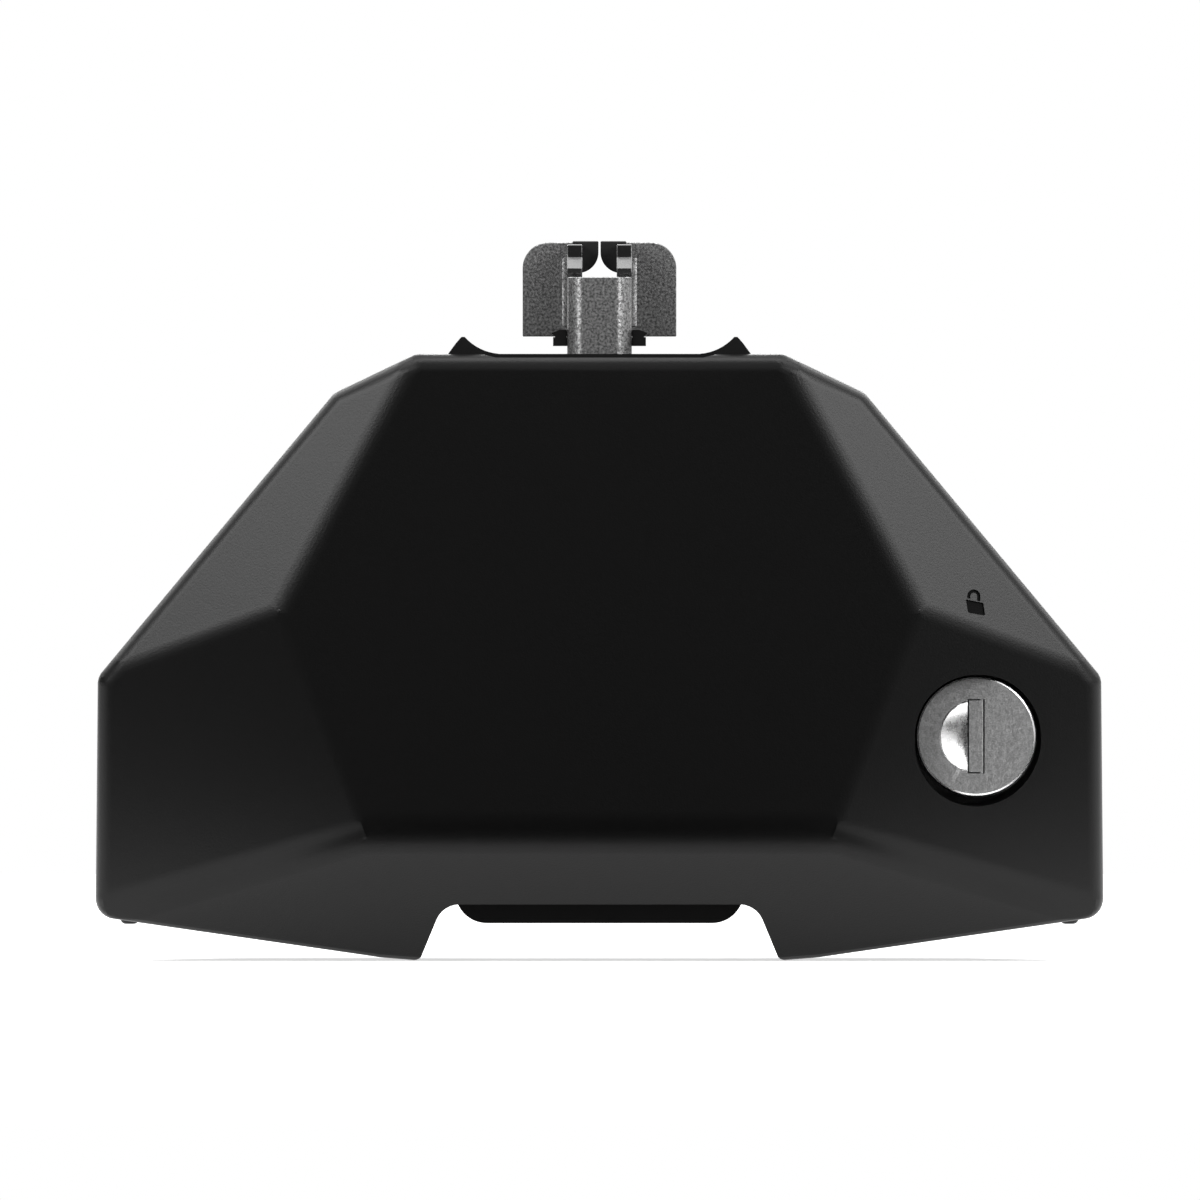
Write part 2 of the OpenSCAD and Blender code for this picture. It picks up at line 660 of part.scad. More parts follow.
module wing() {
    root = channel_w / 2 - 1;
    along_y(wing_y, wing_y + clamp_t) {
        band(root, wing_span / 2 - root, wing_z, wing_top - wing_r);
        band(root, wing_span / 2 - root - wing_r, wing_z, wing_top);
        translate([wing_span / 2 - wing_r, wing_top - wing_r]) circle(r = wing_r);
    }
    // Inside radius of the bend between flange and wing
    translate([channel_w / 2 - eps, wing_y + eps, wing_z + 1.6])
        linear_extrude(wing_h - 4) difference() {
            translate([0, -1]) square([1, 1]);
            translate([1, -1]) circle(r = 1);
        }
}
module inner_tab() along_y(wing_y - clamp_t, wing_y + 0.5) intersection() {
    round_r = 3.3;
    band(0.16, channel_w / 2 - 1, web_top + 0.6, wing_top + 0.2);
    union() {
        translate([0.16 + round_r, web_top + 0.7 + round_r]) circle(r = round_r);
        band(0, channel_w / 2, web_top + 0.7 + round_r, wing_top + 0.2);
    }
}

// Plastic guide that centres the channel between the lips of the bar's slot
guide_z = wing_z - 1.5;
guide_top = guide_z + guide_h;
module clamp_guide() color("#161616") {
    x0 = channel_w / 2 + 0.05;
    mirror_pair() along_y(web_y + 2, wing_y - 0.15) {
        polygon([
            [x0, guide_z], [x0 + guide_t - 0.3, guide_z], [x0 + guide_t - 0.5, wing_z],
            [x0 + guide_t + 0.1, guide_top - 0.5], [x0 + guide_t / 2, guide_top], [x0, guide_top]
        ]);
    }
    under_wing = wing_z - 0.1;
    mirror_pair() along_y(wing_y - 0.2, guide_rear) band(x0, guide_t - 0.2, guide_z, under_wing);
    block([-x0 - 0.5, channel_d / 2 + 0.1, guide_z], [x0 + 0.5, guide_rear, under_wing]);
}
module cross_pin() color("#c2c4c7") difference() {
    rod_x(-pin_half, pin_half, 0, pin_z, pin_d);
    mirror_pair() difference() {
        rod_x(pin_ring_x, pin_ring_x + ring_t + 0.1, 0, pin_z, pin_d + 1);
        rod_x(pin_ring_x - 1, pin_ring_x + ring_t + 1, 0, pin_z, pin_d - 1.2);
    }
}
module pin_rings() color("#6e7074") mirror_pair() difference() {
    rod_x(pin_ring_x + 0.05, pin_ring_x + 0.05 + ring_t, 0, pin_z, pin_d + 4);
    rod_x(pin_ring_x - 1, pin_ring_x + ring_t + 1, 0, pin_z, pin_d - 1.1);
    block([pin_ring_x - 1, -1.2, pin_z - pin_d], [pin_ring_x + 3, 1.2, pin_z - 1]);
}

// The cover: a faceted shell, open at the back, with ribs, bosses and pegs inside
module front_cover() color("#1c1c1d") difference() {
    union() {
        difference() {
            blended(cover_planes);
            faceted(cover_planes, cover_wall);
        }
        intersection() {
            faceted(cover_planes, cover_wall / 2);
            cover_inside();
        }
    }
    difference() {
        block([-big, seam_y - 0.25, -big], [big, big, big]);
        for (p = peg_places) rod_y(p.x, seam_y - 1, boss_rear - 3, p.y, peg_d);
    }
    along_y(-big, big) offset(r = notch_r, $fn = 32) offset(delta = -notch_r) leg_gap();
    saddle_cut();
    lock_cuts();
    mirror_pair() rod_z(bumper_x, bumper_y, 0, bumper_z + cover_wall, bumper_d - 0.8 + 2 * clear);
}
rib_rear = front_y + cover_wall + cover_rib_h;
rib_top = deck_z - deck_t - 4;
module cover_inside() {
    for (x = [-18, 18])
        block([x - cover_rib_t / 2, front_y, facet_foot_z + 4], [x + cover_rib_t / 2, rib_rear, rib_top]);
    for (share = [0.15, 0.5, 0.85]) {
        z = facet_foot_z + 4 + share * (rib_top - facet_foot_z - 4);
        block([-40, front_y, z], [40, rib_rear, z + cover_rib_t]);
    }
    mirror_pair() along_y(front_y, spigot_y - 0.5) gap_wall();
    rod_y(lock_x, front_y, lock_rear - ear_t, lock_z, 2 * housing_r + 4);
    for (s = [-1, 1]) rod_y(lock_x, front_y, lock_rear - ear_t, lock_z + s * ear_z, ear_d);
    for (p = peg_places) {
        rod_y(p.x, front_y, spigot_y - 0.5, p.y, peg_d + 3);
        rod_y(p.x, front_y, boss_rear - 3, p.y, peg_d);
    }
}
// Wall of the cover along each side of the gap between the legs
module gap_wall() {
    step = notch_lean / notch_z;
    rise = notch_z + 2;
    polygon([
        [leg_gap_x, 0], [leg_gap_x + cover_wall, 0],
        [leg_gap_x + cover_wall - rise * step, rise], [leg_gap_x - rise * step, rise]
    ]);
}
module saddle_cut() {
    block([-saddle_x - slip, front_y + cover_wall + 0.8, deck_z - deck_t - 1.5],
        [saddle_x + slip, big, big]);
    dip_x = lip_x - 5;
    along_y(front_y - 1, front_y + 9) polygon([
        [-dip_x - 2.4, cover_h + eps], [dip_x + 2.4, cover_h + eps],
        [dip_x, cover_h - dip_depth], [-dip_x, cover_h - dip_depth]
    ]);
}
module lock_cuts() {
    tilt_x = acos(side_facet[0].z);
    turn_z = atan2(side_facet[0].y, side_facet[0].x);
    translate([lock_x + 0.3, facet_y(lock_x + 0.3, lock_z - 0.7), lock_z - 0.7])
        rotate([0, tilt_x, turn_z]) translate([0, 0, -pocket_depth])
            cylinder(r = plug_r + pocket_gap, h = pocket_depth + 10);
    rod_y(lock_x, front_y, housing_front + 1, lock_z, plug_d + 2 * slip);
    rod_y(lock_x, housing_front, lock_rear + 1, lock_z, 2 * (housing_r + clear));
    for (s = [-1, 1])
        rod_y(lock_x, lock_rear - ear_screw_l - 1, lock_rear, lock_z + s * ear_z, small_screw_d + 2 * clear);
}
bumper_x = foot_w / 2 - 4.9;
bumper_y = front_y + 22;
bumper_z = toe_z * (bumper_x - leg_gap_x) / (foot_w / 2 - leg_gap_x);
module cover_bumpers() color("#0c0c0c") mirror_pair() {
    rod_z(bumper_x, bumper_y, bumper_z - bumper_out, bumper_z - 0.2, bumper_d);
    rod_z(bumper_x, bumper_y, bumper_z - bumper_out, bumper_z + cover_wall - 0.4, bumper_d - 0.8);
}

ear_bore = 4;
ear_screw_l = 9;
// Lock: housing and its screws fixed in the cover, plug, cam and screw that turn, key shutter
module at_lock(y0, y1) translate([lock_x, 0, lock_z]) along_y(y0, y1) children();
module lock_housing() color("#77797c") difference() {
    union() {
        rod_y(lock_x, housing_front + 0.05, lock_rear, lock_z, 2 * housing_r);
        at_lock(lock_rear - ear_t + 0.02, lock_rear) {
            translate([-ear_d / 2, -ear_z]) square([ear_d, 2 * ear_z]);
            for (s = [-1, 1]) translate([0, s * ear_z]) circle(d = ear_d);
        }
    }
    rod_y(lock_x, housing_front - 1, lock_rear + 1, lock_z, plug_d + 2 * clear);
    for (s = [-1, 1])
        rod_y(lock_x, lock_rear - ear_bore, lock_rear + 1, lock_z + s * ear_z, small_screw_d + 2 * clear);
}
module housing_screws() color("#b5b7ba") for (s = [-1, 1]) {
    rod_y(lock_x, lock_rear - ear_screw_l, lock_rear + 0.5, lock_z + s * ear_z, small_screw_d);
    rod_y(lock_x, lock_rear, lock_rear + small_head_h, lock_z + s * ear_z, small_head_d);
}
module stem_section(grow) intersection() {
    circle(d = stem_d + 2 * grow);
    square([stem_d - 2 + 2 * grow, stem_d + 2], center = true);
}
slot_depth = 12;
shutter_t = 0.6;
hinge_x = lock_x + key_slot_w / 2 - 0.35;
hinge_y = plug_face + 0.35;
module lock_plug() color("#a9abad") difference() {
    union() {
        rod_y(lock_x, plug_face, lock_rear, lock_z, plug_d);
        at_lock(lock_rear - 1, cam_end - 0.05) stem_section(0);
    }
    block([lock_x - key_slot_w / 2, plug_face - 1, lock_z - key_slot_l / 2],
        [lock_x + key_slot_w / 2, plug_face + slot_depth, lock_z + key_slot_l / 2]);
    rod_z(hinge_x, hinge_y, lock_z - key_slot_l / 2 - 0.8, lock_z + key_slot_l / 2 + 0.8, shutter_t + 2 * clear);
    thumb_recess();
    rod_y(lock_x, cam_end - 8, cam_end + 1, lock_z, small_screw_d + 2 * clear);
}
// Half-round hollow beside the key slot
module thumb_recess() {
    hollow = 1.5;
    ball = (thumb_r * thumb_r + hollow * hollow) / (2 * hollow);
    intersection() {
        translate([lock_x, plug_face + hollow - ball, lock_z]) sphere(r = ball);
        block([lock_x - plug_r, plug_face - 1, lock_z - plug_r],
            [lock_x - key_slot_w / 2 + eps, plug_face + hollow + 1, lock_z + plug_r]);
    }
}
module lock_cam() color("#97999c") at_lock(cam_y, cam_end) difference() {
    union() {
        circle(d = hub_d);
        translate([-3.5, 0]) square([7, cam_reach]);
    }
    stem_section(clear);
}
module cam_screw() color("#b5b7ba") difference() {
    union() {
        rod_y(lock_x, cam_end - 7, cam_end + 0.5, lock_z, small_screw_d);
        rod_y(lock_x, cam_end + 0.02, cam_end + 1.8, lock_z, hub_d - 2);
    }
    translate([lock_x, cam_end + 0.8, lock_z]) rotate([-90, 0, 0]) cylinder(d = 2.9, h = 3, $fn = 6);
}
module key_shutter() color("#9fa1a3") {
    half = key_slot_l / 2 - 0.1;
    block([lock_x - key_slot_w / 2 + 0.1, hinge_y - shutter_t / 2, lock_z - half],
        [hinge_x, hinge_y + shutter_t / 2, lock_z + half]);
    rod_z(hinge_x, hinge_y, lock_z - half - 0.8, lock_z + half + 0.8, shutter_t);
}

body_shell();
saddle();
frame();
top_plate();
base_plate();
base_screws();
strike_plate();
strike_screws();
thrust_washer();
tightening_screw();
retaining_ring();
draw_block();
claw();
claw_rivets();
bar_clamp();
clamp_guide();
cross_pin();
pin_rings();
front_cover();
cover_bumpers();
lock_housing();
housing_screws();
lock_plug();
lock_cam();
cam_screw();
key_shutter();
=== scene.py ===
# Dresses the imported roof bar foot: finishes, soft creases, lock details, studio and camera.
# Lengths are in metres, in the frame of the CAD: X to the lock's side, Y to the back, Z up.
import math

import bmesh
import bpy
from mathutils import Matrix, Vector


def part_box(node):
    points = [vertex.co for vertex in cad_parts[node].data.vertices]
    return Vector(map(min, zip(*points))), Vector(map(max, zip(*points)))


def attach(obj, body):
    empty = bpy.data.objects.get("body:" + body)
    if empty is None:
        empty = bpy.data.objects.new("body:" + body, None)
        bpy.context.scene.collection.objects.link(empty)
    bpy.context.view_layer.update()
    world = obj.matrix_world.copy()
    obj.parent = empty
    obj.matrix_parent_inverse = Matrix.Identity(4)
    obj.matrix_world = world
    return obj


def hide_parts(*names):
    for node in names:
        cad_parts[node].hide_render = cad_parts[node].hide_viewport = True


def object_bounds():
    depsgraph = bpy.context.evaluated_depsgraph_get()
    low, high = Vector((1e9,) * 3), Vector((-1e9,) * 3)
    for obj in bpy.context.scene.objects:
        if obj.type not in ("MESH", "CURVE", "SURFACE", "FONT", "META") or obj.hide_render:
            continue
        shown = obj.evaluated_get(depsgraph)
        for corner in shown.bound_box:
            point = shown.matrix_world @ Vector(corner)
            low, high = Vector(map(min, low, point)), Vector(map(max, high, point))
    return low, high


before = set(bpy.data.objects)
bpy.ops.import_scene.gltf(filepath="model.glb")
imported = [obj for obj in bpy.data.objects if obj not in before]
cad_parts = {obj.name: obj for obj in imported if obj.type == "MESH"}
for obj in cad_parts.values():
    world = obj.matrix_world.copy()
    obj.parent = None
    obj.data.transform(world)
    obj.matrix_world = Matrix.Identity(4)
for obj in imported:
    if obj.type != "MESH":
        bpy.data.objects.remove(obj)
cad_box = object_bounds()

MM = 0.001

# The photograph: its width in pixels, what a pixel is worth, the point that its centre shows, and
# the pixels that show the part's middle and the ground
PHOTO_WIDTH = 1200
PIXEL = 0.1589 * MM
PHOTO_MIDDLE = (0.08 * MM, 57.1 * MM)
MIDDLE_COLUMN = 599.5
STANDING_ROW = 959.5

# How close points are that count as welded, as level with an end, as on a plane, or as near it
WELDED = 0.001 * MM
LEVEL = 0.01 * MM
ON_PLANE = 0.02 * MM
NEAR_PLANE = 0.05 * MM

# Turns between faces, in radians: below the first they are one flat face, above the second the
# edge is sharp
FLAT_TURN = math.radians(0.05)
SHARP_TURN = 0.5

# Angles, in degrees, from which an edge is shaded as sharp
COVER_SHADING = 24
METAL_SHADING = 30
RUBBER_SHADING = 40
THREAD_SHADING = 50


def photo_point(column, row):
    """The (x, z) that a pixel of the photograph shows."""
    return (column - MIDDLE_COLUMN) * PIXEL, (STANDING_ROW - row) * PIXEL


def linear(level):
    """The linear light level of a display level from 0 to 1."""
    return level / 12.92 if level <= 0.04045 else ((level + 0.055) / 1.055) ** 2.4


def grey(level, warmth=0.0):
    """A grey at a display level, a little warmer or cooler."""
    return (linear(level + warmth), linear(level), linear(level - warmth), 1)


# The middle part of a noise, which is spread to a full range
NOISE_LOW = 0.35
NOISE_HIGH = 0.65


class Finish:
    """A node material with one principled shader and, if asked for, grain and blotches."""

    def __init__(self, name, colour, roughness, metallic=0.0, specular=0.5):
        self.material = bpy.data.materials.new(name)
        self.material.use_nodes = True
        self.material.diffuse_color = colour
        self.nodes = self.material.node_tree.nodes
        self.links = self.material.node_tree.links
        self.shader = self.nodes["Principled BSDF"]
        self.colour = colour
        self.roughness = roughness
        self.shader.inputs["Base Color"].default_value = colour
        self.shader.inputs["Roughness"].default_value = roughness
        self.shader.inputs["Metallic"].default_value = metallic
        self.shader.inputs["Specular IOR Level"].default_value = specular
        self.place = self.nodes.new("ShaderNodeTexCoord").outputs["Object"]

    def noise(self, size, detail, stretch=(1, 1, 1)):
        """A noise whose features are about size wide, drawn out along the axes."""
        mapping = self.nodes.new("ShaderNodeMapping")
        mapping.inputs["Scale"].default_value = stretch
        texture = self.nodes.new("ShaderNodeTexNoise")
        texture.inputs["Scale"].default_value = 1 / size
        texture.inputs["Detail"].default_value = detail
        self.links.new(self.place, mapping.inputs["Vector"])
        self.links.new(mapping.outputs["Vector"], texture.inputs["Vector"])
        return texture.outputs["Fac"]

    def grain(self, size, depth, strength, detail=2.0):
        """Gives the surface a relief."""
        bump = self.nodes.new("ShaderNodeBump")
        bump.inputs["Distance"].default_value = depth
        bump.inputs["Strength"].default_value = strength
        self.links.new(self.noise(size, detail), bump.inputs["Height"])
        self.links.new(bump.outputs["Normal"], self.shader.inputs["Normal"])

    def spread(self, fac, low, high):
        """Maps the middle of a noise to the range from low to high."""
        spread = self.nodes.new("ShaderNodeMapRange")
        spread.inputs["From Min"].default_value = NOISE_LOW
        spread.inputs["From Max"].default_value = NOISE_HIGH
        spread.inputs["To Min"].default_value = low
        spread.inputs["To Max"].default_value = high
        self.links.new(fac, spread.inputs["Value"])
        return spread.outputs["Result"]

    def uneven(self, size, amount, stretch=(1, 1, 1)):
        """Makes the roughness vary by amount either way."""
        fac = self.noise(size, 3.0, stretch)
        varied = self.spread(fac, self.roughness - amount, self.roughness + amount)
        self.links.new(varied, self.shader.inputs["Roughness"])

    def mottled(self, size, other, detail):
        """Mixes another colour in, in patches."""
        mix = self.nodes.new("ShaderNodeMix")
        mix.data_type = "RGBA"
        mix.inputs["A"].default_value = self.colour
        mix.inputs["B"].default_value = other
        patches = self.spread(self.noise(size, detail), 0, 1)
        self.links.new(patches, mix.inputs["Factor"])
        self.links.new(mix.outputs["Result"], self.shader.inputs["Base Color"])


def make_finishes():
    """The finishes by name."""
    satin = Finish("satin_cover_plastic", grey(0.02), 0.38, specular=0.2)
    satin.grain(0.3 * MM, 0.03 * MM, 0.7)
    moulded = Finish("moulded_plastic", grey(0.08), 0.5, specular=0.3)
    moulded.grain(0.5 * MM, 0.03 * MM, 0.5)
    rubber = Finish("saddle_rubber", grey(0.03), 0.45, specular=0.2)
    rubber.grain(1.2 * MM, 0.02 * MM, 0.3)
    coated = Finish("coated_steel", grey(0.52), 0.26, metallic=0.7)
    coated.mottled(0.4 * MM, grey(0.3), 1.5)
    coated.grain(0.3 * MM, 0.05 * MM, 0.7, 3.0)
    # Painted shade: a darker, duller copy of the coated steel for the clamp's inner tabs and the
    # front of its noses, where shade falls
    painted_shade_coat = Finish("coated_steel_painted_shade", grey(0.12), 0.3, metallic=0.5)
    painted_shade_coat.grain(0.3 * MM, 0.03 * MM, 0.6, 3.0)
    flake_coat = Finish("zinc_flake_coat", grey(0.4), 0.5, metallic=0.5)
    flake_coat.grain(0.4 * MM, 0.02 * MM, 0.4)
    zinc_plated = Finish("plated_steel", grey(0.68, 0.008), 0.42, metallic=0.9)
    zinc_plated.grain(0.6 * MM, 0.01 * MM, 0.3)
    screw_steel = Finish("screw_steel", grey(0.62), 0.26, metallic=1.0)
    screw_steel.uneven(1.5 * MM, 0.06)
    lock_face = Finish("scratched_zinc", grey(0.58), 0.42, metallic=0.7)
    lock_face.mottled(0.22 * MM, grey(0.47), 6.0)
    lock_face.uneven(0.5 * MM, 0.08, (1.5, 1, 0.8))
    lock_face.grain(0.22 * MM, 0.008 * MM, 0.4, 3.0)
    black_coat = Finish("black_coat", grey(0.03), 0.55, specular=0.12)
    slot_shadow = Finish("key_slot_shadow", grey(0.04), 0.8, specular=0.1)
    # Bright polished zinc for the lock's chamfers; on the clamp's lip band the same finish is a
    # painted highlight
    polished_and_painted_highlight = Finish("polished_zinc", grey(0.95), 0.25, metallic=1.0)
    polished_and_painted_highlight.grain(0.3 * MM, 0.004 * MM, 0.3)
    recess_zinc = Finish("recess_zinc", grey(0.86), 0.27, metallic=0.9)
    recess_zinc.uneven(0.8 * MM, 0.05)
    engraving = Finish("engraved_plastic", grey(0.02), 0.7, specular=0.05)
    return {
        "satin": satin, "moulded": moulded, "rubber": rubber, "coated": coated,
        "flake": flake_coat, "plated": zinc_plated, "screw": screw_steel, "lock_face": lock_face,
        "polished_and_painted_highlight": polished_and_painted_highlight, "engraving": engraving, "slot_shadow": slot_shadow,
        "painted_shade_coat": painted_shade_coat, "black_coat": black_coat, "recess": recess_zinc,
    }


NODE_FINISH = {
    "body_shell": "moulded", "saddle": "rubber", "frame": "flake", "top_plate": "flake",
    "base_plate": "black_coat", "base_screws": "screw", "strike_plate": "plated",
    "strike_screws": "screw", "thrust_washer": "screw", "tightening_screw": "screw",
    "retaining_ring": "screw", "draw_block": "plated", "claw": "flake", "claw_rivets": "screw",
    "bar_clamp": "coated", "clamp_guide": "black_coat", "cross_pin": "screw", "pin_rings": "screw",
    "front_cover": "satin", "cover_bumpers": "rubber", "lock_housing": "lock_face",
    "housing_screws": "screw", "lock_plug": "lock_face", "lock_cam": "plated",
    "cam_screw": "screw", "key_shutter": "lock_face",
}


def dress_nodes(finishes):
    """Gives every CAD node its finish."""
    for name, finish in NODE_FINISH.items():
        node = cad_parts[name]
        for material_slot in node.material_slots:
            material_slot.material = finishes[finish].material


def add_object(name, data):
    """A new object in the scene."""
    thing = bpy.data.objects.new(name, data)
    bpy.context.scene.collection.objects.link(thing)
    return thing


def opened(mesh):
    """A form of a mesh, to edit."""
    form = bmesh.new()
    form.from_mesh(mesh)
    return form


def close(form, mesh):
    """Writes an edited form to its mesh."""
    form.to_mesh(mesh)
    form.free()


def everything(form):
    """All points, edges and faces of a form."""
    return list(form.verts) + list(form.edges) + list(form.faces)


def join_flat_faces(form):
    """Joins the triangles of each flat face."""
    bmesh.ops.dissolve_limit(form, angle_limit=FLAT_TURN, verts=form.verts, edges=form.edges)


def bevel(form, edges, offset, segments=1, profile=0.5, clamp=False, index=0):
    """Chamfers or rounds edges, and gives the new faces a material's index."""
    bmesh.ops.bevel(form, geom=edges, offset=offset, segments=segments, profile=profile,
                    affect="EDGES", clamp_overlap=clamp, material=index)


def turn_outwards(mesh):
    """Makes a closed mesh's faces look outwards."""
    form = opened(mesh)
    bmesh.ops.recalc_face_normals(form, faces=form.faces)
    close(form, mesh)


def axis_of(low, high):
    """The (x, z) of the axis along y through a box's middle."""
    return (low.x + high.x) / 2, (low.z + high.z) / 2


def off_axis(point, axis):
    """How far a point is from an axis along y."""
    return math.hypot(point.x - axis[0], point.z - axis[1])


def node_copy(name, piece_name, body):
    """A piece that stands for a CAD node and starts as a welded copy of its mesh."""
    piece = add_object(piece_name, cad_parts[name].data.copy())
    form = opened(piece.data)
    bmesh.ops.remove_doubles(form, verts=form.verts, dist=WELDED)
    close(form, piece.data)
    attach(piece, body)
    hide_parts(name)
    return piece


def give_finishes(piece, finishes, names):
    """Replaces a piece's materials, in the order of the indices that its faces keep."""
    indices = [face.material_index for face in piece.data.polygons]
    piece.data.materials.clear()
    for name in names:
        piece.data.materials.append(finishes[name].material)
    piece.data.polygons.foreach_set("material_index", indices)


def shade_by_angle(piece, degrees):
    """Shades a mesh smooth, with sharp edges where faces turn by more than an angle."""
    limit = math.radians(degrees)
    form = opened(piece.data)
    for face in form.faces:
        face.smooth = True
    for edge in form.edges:
        indices = {face.material_index for face in edge.link_faces}
        joined = len(edge.link_faces) == 2 and len(indices) == 1
        edge.smooth = joined and edge.calc_face_angle() < limit
    close(form, piece.data)


def weigh_normals(piece):
    """Lets the large faces decide how the surface is shaded, so that flat faces stay flat."""
    modifier = piece.modifiers.new("weighted_normals", "WEIGHTED_NORMAL")
    modifier.weight = 100
    modifier.keep_sharp = True


# The cover's facets: the least area of one, how its normal's y shows that it faces forward, the
# step in which distances are told apart, and the cosine from which two are the same
LEAST_FACET = 100 * MM * MM
FACET_FORWARD = -0.3
FACET_STEP = 0.1 * MM
SAME_FACET = 0.9999


def outer_planes(form):
    """The large flat facets that face forward and have all of the piece behind them.

    Each is a normal and its distance from the origin.
    """
    areas = {}
    for face in form.faces:
        if face.normal.y > FACET_FORWARD:
            continue
        distance = face.normal.dot(face.calc_center_median())
        key = (round(face.normal.x, 3), round(face.normal.y, 3), round(face.normal.z, 3),
               round(distance / FACET_STEP))
        area, _, _ = areas.get(key, (0, None, None))
        areas[key] = (area + face.calc_area(), face.normal.copy(), distance)
    found = []
    for area, normal, distance in areas.values():
        reach = max(vert.co.dot(normal) for vert in form.verts)
        if area > LEAST_FACET and reach < distance + NEAR_PLANE:
            if all(normal.dot(other) < SAME_FACET for other, _ in found):
                found.append((normal, distance))
    return found


def depth_of(plane, x, z):
    """The y of a plane at x and z."""
    normal, distance = plane
    return (distance - normal.x * x - normal.z * z) / normal.y


def front_at(planes, point):
    """The y of the facets in front of or behind a point."""
    return max(depth_of(plane, point.x, point.z) for plane in planes)


# Soft creases of the cover: their radius and steps, how close a cut passes a point without a new
# one, how far beyond a crease faces are cut too, and how far behind the facets the rounded rim of
# the cover still follows them
CREASE_RADIUS = 8.5 * MM
CREASE_STEPS = 10
CREASE_SNAP = 0.0005 * MM
CREASE_MARGIN = 1 * MM
EDGE_REACH = 3.3 * MM

# The greatest y of the normals of faces that are cut for a crease, and of those round a point of
# the outside
CUT_FORWARD = 0.05
OUTSIDE_FORWARD = 0.2


def soften_creases(form, planes):
    """Rounds the creases between facets: cuts strips along them and moves their points back."""
    pairs = []
    for first, plane in enumerate(planes):
        for other in planes[first + 1:]:
            reach = CREASE_RADIUS * math.tan(plane[0].angle(other[0]) / 2)
            pairs.append((plane, other, reach))
    for pair in pairs:
        plane, other, reach = pair
        across = plane[0] - other[0]
        offset = (plane[1] - other[1]) / across.length
        across.normalize()
        for step in range(CREASE_STEPS + 1):
            shift = reach * (2 * step / CREASE_STEPS - 1)
            faces = [face for face in form.faces if near_crease(face, planes, pair, across, offset)]
            edges = {edge for face in faces for edge in face.edges}
            verts = {vert for face in faces for vert in face.verts}
            bmesh.ops.bisect_plane(
                form, geom=list(verts) + list(edges) + faces, dist=CREASE_SNAP,
                plane_co=across * (offset + shift), plane_no=across)
    for vert in form.verts:
        front = front_at(planes, vert.co)
        if vert.co.y - front > EDGE_REACH or not outward(vert):
            continue
        vert.co.y = max(vert.co.y, front + max(blend_at(vert.co, pair, front) for pair in pairs))


def outward(vert):
    """True for a point of the outside of the cover, not of its inner faces."""
    return all(face.normal.y < OUTSIDE_FORWARD for face in vert.link_faces)


def near_crease(face, planes, pair, across, offset):
    """True for a face of the outside that reaches into the crease between two facets."""
    if face.normal.y > CUT_FORWARD:
        return False
    plane, other, reach = pair
    sides = [vert.co.dot(across) - offset for vert in face.verts]
    if min(sides) > reach or max(sides) < -reach:
        return False
    for vert in face.verts:
        front = front_at(planes, vert.co)
        mine = front_at((plane, other), vert.co)
        if mine > front - CREASE_MARGIN and vert.co.y < front + EDGE_REACH:
            return True
    return False


def blend_at(point, pair, front):
    """How far back the rounded crease lies at a point, 0 outside the crease."""
    plane, other, reach = pair
    first = depth_of(plane, point.x, point.z)
    second = depth_of(other, point.x, point.z)
    if max(first, second) < front - ON_PLANE:
        return 0
    slopes = Vector((plane[0].x / plane[0].y - other[0].x / other[0].y,
                     plane[0].z / plane[0].y - other[0].z / other[0].y))
    width = reach * slopes.length
    gap = abs(first - second)
    if gap >= width:
        return 0
    return (width - gap) ** 2 / (4 * width)


# The legs seen from the front: where the gap, the sole and the underside meet, the tip's radius,
# the steps of its curve, and the range of y that it is cut through
LEG_TIP = (28.5 * MM, -0.187 * MM)
SOLE_END = 34.9 * MM
TOE = (80 * MM, 6.9 * MM)
SOLE_DROP = 0.36 * MM
TIP_RADIUS = 1.5 * MM
TIP_STEPS = 12
TIP_DEPTHS = (-60 * MM, 10 * MM)
GAP_SIDE = Vector((-3.65, 8.8)).normalized()


def lower_soles(form):
    """Bends the underside of the legs down to the nearly flat soles at their tips."""
    for side in (-1, 1):
        bmesh.ops.bisect_plane(form, geom=everything(form), dist=WELDED,
                               plane_co=(side * SOLE_END, 0, 0), plane_no=(1, 0, 0))
    for vert in form.verts:
        across = abs(vert.co.x)
        share = (across - LEG_TIP[0]) / (TOE[0] - LEG_TIP[0])
        underside = LEG_TIP[1] + share * (TOE[1] - LEG_TIP[1])
        if share < 0 or vert.co.z > underside + EDGE_REACH:
            continue
        outer = (TOE[0] - across) / (TOE[0] - SOLE_END)
        inner = (across - LEG_TIP[0]) / (SOLE_END - LEG_TIP[0])
        vert.co.z -= SOLE_DROP * max(0, min(inner, outer))


def leg_tip(side):
    """What rounding the tip of one leg takes away, as (x, z)."""
    slope = (TOE[1] - LEG_TIP[1]) / (TOE[0] - LEG_TIP[0])
    sole_rise = slope * (SOLE_END - LEG_TIP[0]) - SOLE_DROP
    sole = Vector((SOLE_END - LEG_TIP[0], sole_rise)).normalized()
    half = GAP_SIDE.angle(sole) / 2
    tip = Vector(LEG_TIP)
    middle = tip + (GAP_SIDE + sole).normalized() * TIP_RADIUS / math.sin(half)
    reach = TIP_RADIUS / math.tan(half)
    first, last = tip + GAP_SIDE * reach - middle, tip + sole * reach - middle
    turn = first.angle_signed(last)
    curve = []
    for step in range(TIP_STEPS + 1):
        angle = -turn * step / TIP_STEPS
        curve.append(middle + Vector((first.x * math.cos(angle) - first.y * math.sin(angle),
                                      first.x * math.sin(angle) + first.y * math.cos(angle))))
    outline = curve + [tip + (sole * 3 - GAP_SIDE) * MM, tip - (GAP_SIDE + sole) * 2 * MM,
                       tip + (GAP_SIDE * 3 - sole) * MM]
    return [(side * point.x, point.y) for point in outline]


# The cover's cut edges, as at the notch, the dip and the lock's pocket: their radius, the turn from
# which they are rounded, and the y of the front face's normal beside them
MOULDING_RADIUS = 0.35 * MM
MOULDING_TURN = math.radians(50)
MOULDING_FORWARD = -0.5


